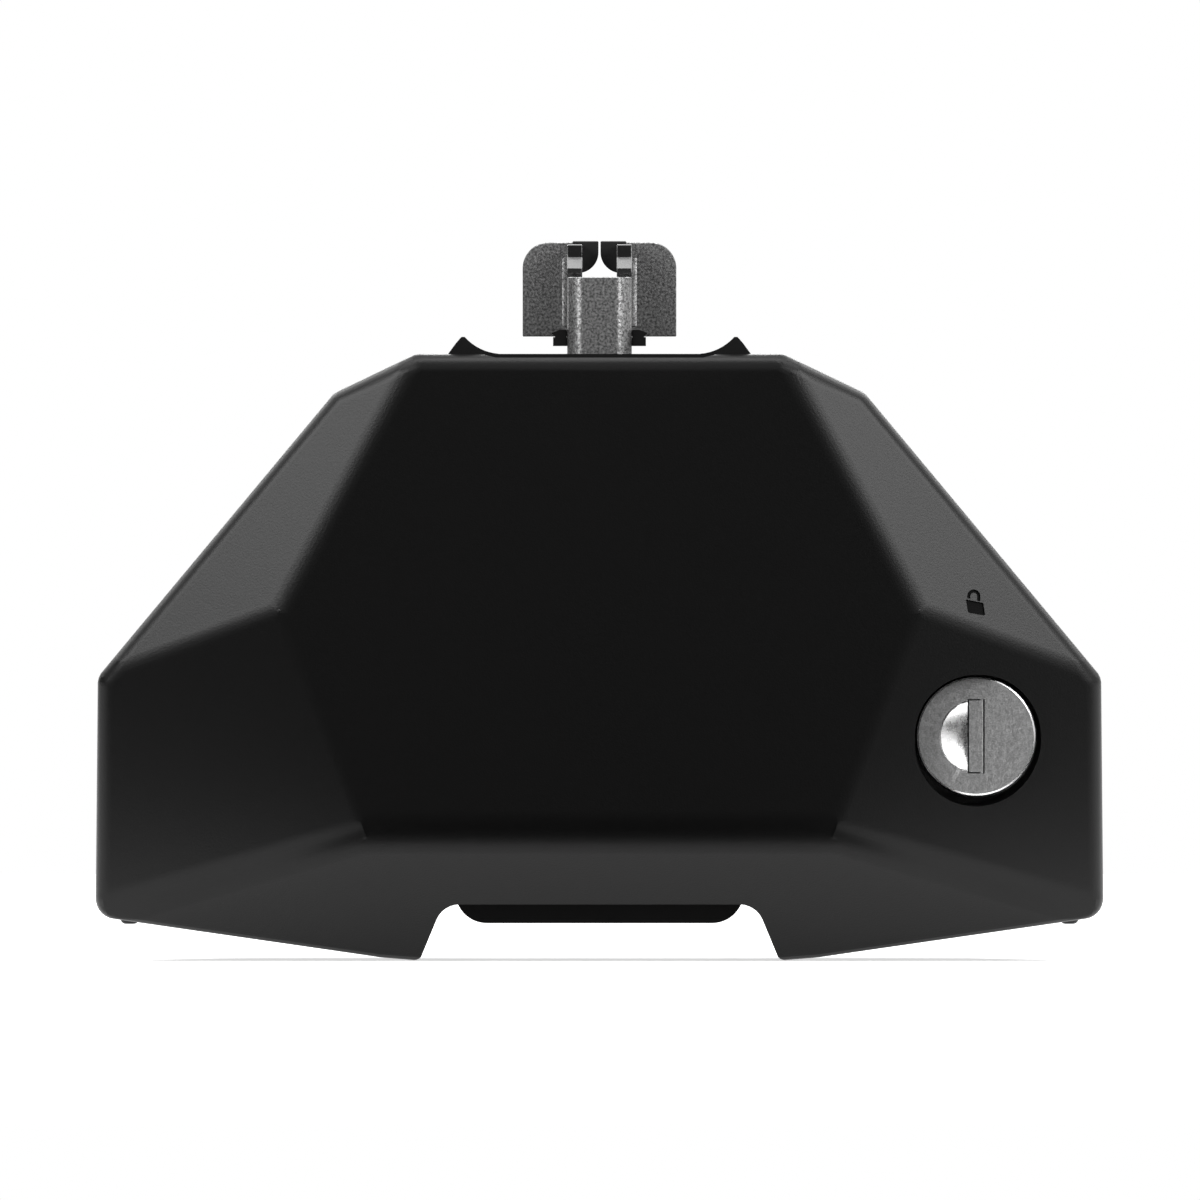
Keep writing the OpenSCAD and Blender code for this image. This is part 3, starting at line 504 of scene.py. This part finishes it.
def round_mouldings(form, planes):
    """Rounds the sharp edges that the cut-outs leave in the cover's front."""
    sharp = []
    for edge in form.edges:
        if len(edge.link_faces) != 2 or edge.calc_face_angle() < MOULDING_TURN:
            continue
        if edge.calc_face_angle_signed() < 0:
            continue
        on_front = all(vert.co.y < front_at(planes, vert.co) + EDGE_REACH for vert in edge.verts)
        if on_front and min(face.normal.y for face in edge.link_faces) < MOULDING_FORWARD:
            sharp.append(edge)
    bevel(form, sharp, MOULDING_RADIUS, segments=2, clamp=True)


# The open padlock on the cover, in pixels of the photograph: its body's corners and their rounding,
# and its shackle, whose ends are cut off at a slant; then the depth of the engraving
PADLOCK_CORNERS = [(964.8, 599.6), (982.3, 603.0), (984.2, 615.8), (967.0, 612.9)]
PADLOCK_ROUND = 2.2
CORNER_STEPS = 6
SHACKLE_MIDDLE = (972.7, 596.2)
SHACKLE_RADII = (3.3, 6.6)
SHACKLE_STEPS = (16, 20)
SHACKLE_FREE_ENDS = (598.9, 598.2)
SHACKLE_FIXED_ENDS = (600.7, 601.6)
ENGRAVED_DEPTH = 0.3 * MM


def arc(middle, radius, start, end, steps):
    """Points on an arc, with angles in degrees."""
    turns = [math.radians(start + (end - start) * step / steps) for step in range(steps + 1)]
    return [(middle[0] + radius * math.cos(turn), middle[1] + radius * math.sin(turn))
            for turn in turns]


def pictogram_body():
    """The padlock's body with its two lower corners rounded, in pixels."""
    top_left, top_right, low_right, low_left = (Vector(corner) for corner in PADLOCK_CORNERS)
    outline = [top_left, top_right]
    for corner, before, after in ((low_right, top_right, low_left), (low_left, low_right, top_left)):
        start = corner + (before - corner).normalized() * PADLOCK_ROUND
        end = corner + (after - corner).normalized() * PADLOCK_ROUND
        for step in range(CORNER_STEPS + 1):
            along = step / CORNER_STEPS
            outline.append(start.lerp(corner, along).lerp(corner.lerp(end, along), along))
    return [tuple(point) for point in outline]


def pictogram_shackle():
    """The padlock's open shackle, whose left leg ends free, in pixels."""
    inner, outer = SHACKLE_RADII
    inner_steps, outer_steps = SHACKLE_STEPS
    x = SHACKLE_MIDDLE[0]
    fixed_leg = [(x + outer, SHACKLE_FIXED_ENDS[1]), (x + inner, SHACKLE_FIXED_ENDS[0])]
    free_leg = [(x - inner, SHACKLE_FREE_ENDS[0]), (x - outer, SHACKLE_FREE_ENDS[1])]
    return (arc(SHACKLE_MIDDLE, outer, 180, 360, outer_steps) + fixed_leg
            + arc(SHACKLE_MIDDLE, inner, 360, 180, inner_steps) + free_leg)


def cut_out(piece, outlines, depths, index):
    """Cuts prisms with outlines of (x, z) out of a piece.

    depths gives the y where each starts and ends, and index is the new faces' material.
    """
    mesh = bpy.data.meshes.new("cutter")
    points, faces = [], []
    for outline in outlines:
        count, first = len(outline), len(points)
        for end in (0, 1):
            points.extend((x, depths(x, z)[end], z) for x, z in outline)
        faces.append(tuple(range(first, first + count)))
        faces.append(tuple(range(first + 2 * count - 1, first + count - 1, -1)))
        for place in range(count):
            after = (place + 1) % count
            faces.append((first + after, first + place, first + count + place,
                          first + count + after))
    mesh.from_pydata(points, [], faces)
    for material in piece.data.materials:
        mesh.materials.append(material)
    for face in mesh.polygons:
        face.material_index = index
    turn_outwards(mesh)
    cutter = add_object("cutter", mesh)
    modifier = piece.modifiers.new("cut", "BOOLEAN")
    modifier.object = cutter
    modifier.solver = "EXACT"
    apply_modifiers(piece)
    bpy.data.objects.remove(cutter)


def apply_modifiers(piece):
    """Turns what the modifiers make into the piece's own mesh."""
    bpy.context.view_layer.update()
    evaluated = piece.evaluated_get(bpy.context.evaluated_depsgraph_get())
    mesh = bpy.data.meshes.new_from_object(evaluated)
    piece.modifiers.clear()
    piece.data = mesh


COVER_FINISHES = ("satin", "engraving")

# How far the normal of the facet that carries the padlock leans to the side and up, at least
PADLOCK_FACET_LEAN = 0.1


def make_cover(finishes):
    """The front cover with its soft creases and the engraved open padlock."""
    piece = node_copy("front_cover", "cover_moulding", "cover")
    form = opened(piece.data)
    planes = outer_planes(form)
    join_flat_faces(form)
    soften_creases(form, planes)
    lower_soles(form)
    close(form, piece.data)
    cut_out(piece, [leg_tip(-1), leg_tip(1)], lambda x, z: TIP_DEPTHS, 0)
    form = opened(piece.data)
    round_mouldings(form, planes)
    bmesh.ops.triangulate(form, faces=form.faces)
    close(form, piece.data)
    give_finishes(piece, finishes, COVER_FINISHES)
    facet = next(plane for plane in planes
                 if plane[0].x > PADLOCK_FACET_LEAN and plane[0].z > PADLOCK_FACET_LEAN)
    pictogram = [[photo_point(*pixel) for pixel in outline]
                 for outline in (pictogram_body(), pictogram_shackle())]
    cut_out(piece, pictogram, lambda x, z: (depth_of(facet, x, z) - ENGRAVED_DEPTH,
                                            depth_of(facet, x, z) + ENGRAVED_DEPTH),
            COVER_FINISHES.index("engraving"))
    shade_by_angle(piece, COVER_SHADING)
    weigh_normals(piece)


# The lock's face: the chamfers round the rim, the thumb recess and the shutter, and the shutter's
# gap; how deep the recess and the slot are at most, what share of the radius they stay in, and
# the y of the normals that the recess has
LOCK_RIM_CHAMFER = 0.32 * MM
LOCK_RIM_PROFILE = 0.6
RECESS_CHAMFER = 0.14 * MM
SHUTTER_CHAMFER = 0.13 * MM
SHUTTER_GAP = 0.12 * MM
RECESS_DEPTH = 4 * MM
RECESS_SHARE = 0.8
RECESS_FORWARD = -0.05
LOCK_FINISHES = ("lock_face", "polished_and_painted_highlight", "slot_shadow", "recess")
SHUTTER_FINISHES = ("lock_face", "polished_and_painted_highlight")


def make_lock_plug(finishes):
    """The lock plug with a chamfered rim, a bright zinc recess beside the key slot and a dark slot.
    """
    piece = node_copy("lock_plug", "lock_plug_face", "lock")
    low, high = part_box("lock_plug")
    axis = axis_of(low, high)
    shutter_low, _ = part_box("key_shutter")
    rim = (high.z - low.z) / 2
    outside = LOCK_FINISHES.index("lock_face")
    bright = LOCK_FINISHES.index("polished_and_painted_highlight")
    dark = LOCK_FINISHES.index("slot_shadow")
    recess = LOCK_FINISHES.index("recess")
    form = opened(piece.data)
    for face in form.faces:
        middle = face.calc_center_median()
        behind = low.y + ON_PLANE < middle.y < low.y + RECESS_DEPTH
        face.material_index = outside
        if behind and off_axis(middle, axis) < rim * RECESS_SHARE:
            in_recess = middle.x < shutter_low.x - SHUTTER_GAP and face.normal.y < RECESS_FORWARD
            face.material_index = recess if in_recess else dark
    on_rim, on_recess = [], []
    for edge in form.edges:
        if max(vert.co.y for vert in edge.verts) > low.y + LEVEL:
            continue
        if min(off_axis(vert.co, axis) for vert in edge.verts) > rim - NEAR_PLANE:
            on_rim.append(edge)
        elif {face.material_index for face in edge.link_faces} == {outside, recess}:
            on_recess.append(edge)
    bevel(form, on_rim, LOCK_RIM_CHAMFER, 2, LOCK_RIM_PROFILE, clamp=True, index=bright)
    bevel(form, on_recess, RECESS_CHAMFER, clamp=True, index=bright)
    close(form, piece.data)
    give_finishes(piece, finishes, LOCK_FINISHES)
    shade_by_angle(piece, METAL_SHADING)


def make_shutter(finishes):
    """The key shutter, a little narrower than its slot, with bright edges."""
    piece = node_copy("key_shutter", "shutter_plate", "shutter")
    low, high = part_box("key_shutter")
    middle_x, middle_z = axis_of(low, high)
    form = opened(piece.data)
    for vert in form.verts:
        vert.co.x -= math.copysign(SHUTTER_GAP, vert.co.x - middle_x)
        vert.co.z -= math.copysign(SHUTTER_GAP, vert.co.z - middle_z)
    in_front = [edge for edge in form.edges
                if max(vert.co.y for vert in edge.verts) < low.y + LEVEL
                and edge.calc_face_angle() > SHARP_TURN]
    for face in form.faces:
        face.material_index = SHUTTER_FINISHES.index("lock_face")
    bevel(form, in_front, SHUTTER_CHAMFER, clamp=True, index=SHUTTER_FINISHES.index("polished_and_painted_highlight"))
    close(form, piece.data)
    give_finishes(piece, finishes, SHUTTER_FINISHES)
    shade_by_angle(piece, METAL_SHADING)


# The bumpers: the radius of their domed ends, how far their heads reach up into the cover's curved
# corner, and how far they sit inwards of the CAD's
BUMPER_DOME = 0.85 * MM
BUMPER_STEPS = 5
BUMPER_RISE = 0.6 * MM
BUMPER_SHIFT = 0.5 * MM


def make_bumpers(finishes):
    """The rubber bumpers with domed ends."""
    piece = node_copy("cover_bumpers", "domed_bumpers", "cover")
    low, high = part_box("cover_bumpers")
    form = opened(piece.data)
    join_flat_faces(form)
    for vert in form.verts:
        vert.co.x -= math.copysign(BUMPER_SHIFT, vert.co.x)
        if low.z + LEVEL < vert.co.z < high.z - LEVEL:
            vert.co.z += BUMPER_RISE
    ends = [edge for edge in form.edges
            if max(vert.co.z for vert in edge.verts) < low.z + LEVEL
            and edge.calc_face_angle() > SHARP_TURN]
    bevel(form, ends, BUMPER_DOME, BUMPER_STEPS)
    bmesh.ops.triangulate(form, faces=form.faces)
    close(form, piece.data)
    give_finishes(piece, finishes, ("rubber",))
    shade_by_angle(piece, RUBBER_SHADING)


# The clamp: where its flanges' top front edge lies behind and below its box, how far that edge leans
# forward, the radius of its sheet's edges, how far below the top and from which turn they are
# broken, and the half width and depth that hold the inner tabs
FLANGE_SETBACK = 5 * MM
FLANGE_DROP = 0.6 * MM
LIP_LEAN = 0.55 * MM
LIP_EDGE = 0.3 * MM
SHEET_EDGE = 0.12 * MM
BROKEN_REACH = 20 * MM
BROKEN_TURN = math.radians(60)
TAB_HALF_WIDTH = 2.8 * MM
TAB_SETBACK = 8 * MM

# The part of the clamp's box that holds the flanges' noses: how far behind its front and above its
# foot it starts, and how far behind the flanges' top edge it ends; the band under the lip, which
# takes a painted highlight; and the y or z of the normals that tabs, lip and nose have, as limits
NOSE_START = 2 * MM
NOSE_FOOT = 40 * MM
NOSE_MARGIN = 0.1 * MM
LIP_BAND = 1 * MM
TAB_FORWARD = 0.5
SLOPE_FORWARD = -0.3
SLOPE_UP = 0.3
NOSE_FORWARD = -0.8
# The second finish paints shade on the inner tabs and on the front of the noses; the last paints a
# highlight along the lip band
CLAMP_FINISHES = ("coated", "painted_shade_coat", "flake", "polished_and_painted_highlight")


def clamp_index(face, low, high):
    """The index of the finish that a face of the clamp has: painted shade on the inner tabs and the
    noses' front, a painted highlight on the lip band, flake on the noses' upward slope below it.
    """
    middle, normal = face.calc_center_median(), face.normal
    on_tab = abs(middle.x) < TAB_HALF_WIDTH and middle.y > low.y + TAB_SETBACK
    rear = low.y + FLANGE_SETBACK + NOSE_MARGIN
    on_nose = low.y + NOSE_START < middle.y < rear and middle.z > low.z + NOSE_FOOT
    name = "coated"
    if on_tab and normal.y < TAB_FORWARD:
        # painted shade on the inner tabs
        name = "painted_shade_coat"
    elif on_nose and normal.y < SLOPE_FORWARD and normal.z > SLOPE_UP:
        # painted highlight on the lip band, the flake finish on the slope below it
        name = "flake" if middle.z < high.z - FLANGE_DROP - LIP_BAND else "polished_and_painted_highlight"
    elif on_nose and normal.y < NOSE_FORWARD:
        # painted shade on the front of the noses
        name = "painted_shade_coat"
    return CLAMP_FINISHES.index(name)


def make_clamp(finishes):
    """The folded clamp with a lip on top of each flange and broken edges; painted shade on its inner
    tabs and the noses' front, and a painted highlight along each lip.
    """
    piece = node_copy("bar_clamp", "folded_clamp", "clamp")
    low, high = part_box("bar_clamp")
    lip_height = high.z - FLANGE_DROP
    lip_depth = low.y + FLANGE_SETBACK
    form = opened(piece.data)
    join_flat_faces(form)
    for vert in form.verts:
        level = abs(vert.co.z - lip_height) < ON_PLANE
        if level and abs(vert.co.y - lip_depth) < ON_PLANE:
            vert.co.y -= LIP_LEAN
    lips = [edge for edge in form.edges
            if all(abs(vert.co.z - lip_height) < ON_PLANE
                   and abs(vert.co.y - (lip_depth - LIP_LEAN)) < ON_PLANE for vert in edge.verts)]
    bevel(form, lips, LIP_EDGE, 2)
    sharp = [edge for edge in form.edges
             if len(edge.link_faces) == 2 and edge.calc_face_angle_signed() > BROKEN_TURN
             and min(vert.co.z for vert in edge.verts) > high.z - BROKEN_REACH]
    bevel(form, sharp, SHEET_EDGE)
    for face in form.faces:
        face.material_index = clamp_index(face, low, high)
    bmesh.ops.triangulate(form, faces=form.faces)
    close(form, piece.data)
    give_finishes(piece, finishes, CLAMP_FINISHES)
    shade_by_angle(piece, METAL_SHADING)
    weigh_normals(piece)
    return piece


# The tightening screw's thread: its pitch and depth, its points in a turn and rows in a pitch, the
# power that shapes its crest, and the turns in which it fades at both ends
THREAD_PITCH = 1.25 * MM
THREAD_DEPTH = 0.65 * MM
THREAD_SIDES = 32
THREAD_ROWS = 4
THREAD_CREST = 1.2
THREAD_FADE = 0.8

# Where the thinned shank starts behind the retaining ring, where the thread starts on it and how
# far before its end it stops; and how far the shank and the thread stay inside
SHANK_START = 1 * MM
THREAD_START = 0.2 * MM
THREAD_STOP = 0.5 * MM
SHANK_INSIDE = 0.05 * MM
THREAD_INSIDE = 0.02 * MM


def thin_shank(piece, start, axis, away):
    """Thins the shank of the screw from start to its end, to the thread's core."""
    form = opened(piece.data)
    bmesh.ops.bisect_plane(form, geom=everything(form), dist=WELDED,
                           plane_co=(0, start, 0), plane_no=(0, 1, 0))
    share = (away - THREAD_DEPTH - SHANK_INSIDE) / away
    for vert in form.verts:
        if vert.co.y > start - LEVEL:
            vert.co.x = axis[0] + (vert.co.x - axis[0]) * share
            vert.co.z = axis[1] + (vert.co.z - axis[1]) * share
    close(form, piece.data)


def thread_mesh(start, end, axis, away):
    """A rolled thread of a radius round an axis."""
    points, faces = [], []
    turns = int((end - start - THREAD_STOP) / THREAD_PITCH)
    rows = turns * THREAD_ROWS + 1
    for row in range(rows):
        for side in range(THREAD_SIDES):
            angle = 2 * math.pi * side / THREAD_SIDES
            along = row / THREAD_ROWS
            near_end = min(1, along / THREAD_FADE, (turns - along) / THREAD_FADE)
            phase = (along - side / THREAD_SIDES) % 1
            crest = 1 - abs(2 * phase - 1) ** THREAD_CREST
            radius = away - THREAD_INSIDE - THREAD_DEPTH * (1 - crest * near_end)
            points.append((axis[0] + radius * math.cos(angle),
                           start + THREAD_START + along * THREAD_PITCH,
                           axis[1] + radius * math.sin(angle)))
    for row in range(rows - 1):
        for side in range(THREAD_SIDES):
            after = (side + 1) % THREAD_SIDES
            first, second = row * THREAD_SIDES, (row + 1) * THREAD_SIDES
            faces.append((first + side, first + after, second + after, second + side))
    faces.append(tuple(range(THREAD_SIDES - 1, -1, -1)))
    faces.append(tuple(range((rows - 1) * THREAD_SIDES, rows * THREAD_SIDES)))
    mesh = bpy.data.meshes.new("screw_thread")
    mesh.from_pydata(points, [], faces)
    turn_outwards(mesh)
    return mesh


def make_screw(finishes):
    """The tightening screw with its shank thinned and a rolled thread round it."""
    piece = node_copy("tightening_screw", "threaded_screw", "screw")
    low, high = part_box("tightening_screw")
    _, ring_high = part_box("retaining_ring")
    axis = axis_of(low, high)
    start = ring_high.y + SHANK_START
    away = max(off_axis(vert.co, axis) for vert in piece.data.vertices
               if vert.co.y > high.y - LEVEL)
    thin_shank(piece, start, axis, away)
    thread = add_object("screw_thread", thread_mesh(start, high.y, axis, away))
    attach(thread, "screw")
    for thing in (piece, thread):
        give_finishes(thing, finishes, ("screw",))
        shade_by_angle(thing, THREAD_SHADING)


def area_light(name, place, target, size, power):
    """A soft rectangular lamp that looks at a point."""
    lamp = bpy.data.lights.new(name, "AREA")
    lamp.shape = "RECTANGLE"
    lamp.size, lamp.size_y = size
    lamp.energy = power
    thing = add_object(name, lamp)
    thing.location = place
    thing.rotation_euler = (Vector(target) - Vector(place)).to_track_quat("-Z", "Y").to_euler()
    return thing


def seen_rays(nodes, links):
    """1 for camera, glossy and transmission rays, which see the white background."""
    path = nodes.new("ShaderNodeLightPath")
    total = path.outputs["Is Camera Ray"]
    for name in ("Is Glossy Ray", "Is Transmission Ray"):
        add = nodes.new("ShaderNodeMath")
        add.operation = "ADD"
        add.use_clamp = True
        links.new(total, add.inputs[0])
        links.new(path.outputs[name], add.inputs[1])
        total = add.outputs[0]
    return total


def empty_tree(owner):
    """The nodes and links of a world or material, without any node."""
    owner.use_nodes = True
    owner.node_tree.nodes.clear()
    return owner.node_tree.nodes, owner.node_tree.links


# Linear light levels: the world for the light and as it is seen, and the floor's colour and glow
WORLD_LIGHT = (0.62, 0.62, 0.62, 1)
WORLD_SEEN = (1, 1, 1, 1)
FLOOR_COLOUR = (0.7, 0.7, 0.7, 1)
FLOOR_GLOW = (0.65, 0.65, 0.65, 1)

# The floor's half width, and how far it lies under the part
FLOOR_HALF = 2.5
FLOOR_GAP = 0.05 * MM


def make_world():
    """A soft grey world for the light, seen as white."""
    world = bpy.data.worlds.new("studio")
    bpy.context.scene.world = world
    nodes, links = empty_tree(world)
    output = nodes.new("ShaderNodeOutputWorld")
    mix = nodes.new("ShaderNodeMixShader")
    light = nodes.new("ShaderNodeBackground")
    light.inputs["Color"].default_value = WORLD_LIGHT
    seen = nodes.new("ShaderNodeBackground")
    seen.inputs["Color"].default_value = WORLD_SEEN
    links.new(seen_rays(nodes, links), mix.inputs[0])
    links.new(light.outputs[0], mix.inputs[1])
    links.new(seen.outputs[0], mix.inputs[2])
    links.new(mix.outputs[0], output.inputs["Surface"])


def level_card(half_width, front, rear, height):
    """The corners of a level card."""
    return [(-half_width, front, height), (half_width, front, height),
            (half_width, rear, height), (-half_width, rear, height)]


def upright_card(start, end, low, high):
    """The corners of an upright card from one (x, y) to another."""
    return [(*start, low), (*end, low), (*end, high), (*start, high)]


def make_floor():
    """A white floor on the standing plane, which keeps a light shadow."""
    mesh = bpy.data.meshes.new("floor")
    corners = level_card(FLOOR_HALF, -FLOOR_HALF, FLOOR_HALF, cad_box[0].z - FLOOR_GAP)
    mesh.from_pydata(corners, [], [(0, 1, 2, 3)])
    floor = add_object("floor", mesh)
    material = bpy.data.materials.new("floor_white")
    nodes, links = empty_tree(material)
    output = nodes.new("ShaderNodeOutputMaterial")
    diffuse = nodes.new("ShaderNodeBsdfDiffuse")
    diffuse.inputs["Color"].default_value = FLOOR_COLOUR
    glow = nodes.new("ShaderNodeEmission")
    add = nodes.new("ShaderNodeAddShader")
    links.new(seen_rays(nodes, links), glow.inputs["Strength"])
    glow.inputs["Color"].default_value = FLOOR_GLOW
    links.new(diffuse.outputs[0], add.inputs[0])
    links.new(glow.outputs[0], add.inputs[1])
    links.new(add.outputs[0], output.inputs["Surface"])
    mesh.materials.append(material)


# The black cards, in metres: the y of the front one, the half width and top of it, the near edge of
# the one on the floor, and its tongue's half width and near edge
CARD_FRONT = -0.6
CARD_HALF = 0.42
CARD_TOP = 0.42
FLOOR_CARD_NEAR = -0.088
TONGUE_HALF = 0.05
TONGUE_NEAR = -0.05

# The card above, with its half width, near edge and height, and the side ones, with their x, the y
# of their corner and rear, and their top
ABOVE_HALF = 0.16
ABOVE_NEAR = -0.1
ABOVE_HEIGHT = 0.5
SIDE_X = -0.62
SIDE_CORNER = -0.3
SIDE_REAR = 0.55
SIDE_TOP = 0.36


def make_flag():
    """Black cards before, left of, above and below the part, which only reflections show."""
    low = cad_box[0].z + MM
    cards = [
        upright_card((-CARD_HALF, CARD_FRONT), (CARD_HALF, CARD_FRONT), low, CARD_TOP),
        level_card(CARD_HALF, CARD_FRONT, FLOOR_CARD_NEAR, low),
        upright_card((-CARD_HALF, CARD_FRONT), (SIDE_X, SIDE_CORNER), low, SIDE_TOP),
        upright_card((SIDE_X, SIDE_CORNER), (SIDE_X, SIDE_REAR), low, SIDE_TOP),
        level_card(TONGUE_HALF, FLOOR_CARD_NEAR, TONGUE_NEAR, low),
        level_card(ABOVE_HALF, CARD_FRONT, ABOVE_NEAR, ABOVE_HEIGHT),
    ]
    points = [corner for card in cards for corner in card]
    faces = [tuple(range(first, first + 4)) for first in range(0, len(points), 4)]
    mesh = bpy.data.meshes.new("flag")
    mesh.from_pydata(points, [], faces)
    mesh.materials.append(Finish("flag_black", grey(0.02), 1.0, specular=0.0).material)
    flag = add_object("flag", mesh)
    flag.visible_camera = False
    flag.visible_diffuse = False
    flag.visible_shadow = False
    flag.visible_transmission = False


# The camera, in metres: its distance from the plane that it shows at the photograph's scale, the y
# of that plane, and its sensor's width in millimetres
CAMERA_DISTANCE = 8.0
SHARP_PLANE = -20 * MM
SENSOR = 36.0


def make_camera():
    """A long lens straight in front, with the photograph's frame."""
    lens_data = bpy.data.cameras.new("camera")
    lens_data.sensor_width = SENSOR
    lens_data.lens = SENSOR * CAMERA_DISTANCE / (PHOTO_WIDTH * PIXEL)
    camera = add_object("camera", lens_data)
    camera.location = (PHOTO_MIDDLE[0], SHARP_PLANE - CAMERA_DISTANCE, PHOTO_MIDDLE[1])
    camera.rotation_euler = (math.radians(90), 0, 0)
    bpy.context.scene.camera = camera


# Lamps by name: place, the point that they look at, size in metres and power in watts
MIDDLE = (0, 0, 0.06)
PAIRED_LAMPS = {
    "side_box": ((0.42, -0.36, 0.35), (0.05, 0, 0.06), (0.36, 0.26), 3.4),
    "strip_box": ((0.27, -0.48, 0.19), (0, 0, 0.1), (0.2, 0.25), 0.8),
    "rim_box": ((0.5, 0.42, 0.6), MIDDLE, (0.4, 0.4), 2.2),
}
SINGLE_LAMPS = {
    "top_box": ((0, -0.2, 1.7), MIDDLE, (1.6, 0.9), 26),
    "rear_box": ((0, 1.6, 0.7), MIDDLE, (1.2, 0.6), 12),
}


def mirrored(side, point):
    """A point on one side, or its mirror image on the other."""
    return (side * point[0], point[1], point[2])


def make_studio(clamp):
    """World, floor, flag, lamps and camera. The strip lamps light the clamp alone."""
    make_world()
    make_floor()
    make_flag()
    lit_by_strips = bpy.data.collections.new("lit_by_strips")
    lit_by_strips.objects.link(clamp)
    for side in (-1, 1):
        for name, (place, target, size, power) in PAIRED_LAMPS.items():
            lamp = area_light(name, mirrored(side, place), mirrored(side, target), size, power)
            if name == "strip_box":
                lamp.light_linking.receiver_collection = lit_by_strips
    for name, (place, target, size, power) in SINGLE_LAMPS.items():
        area_light(name, place, target, size, power)
    make_camera()


def main():
    """Dresses the part and sets up the studio."""
    bpy.context.scene.view_settings.view_transform = "Standard"
    finishes = make_finishes()
    dress_nodes(finishes)
    make_cover(finishes)
    make_lock_plug(finishes)
    make_shutter(finishes)
    make_screw(finishes)
    make_bumpers(finishes)
    make_studio(make_clamp(finishes))


main()
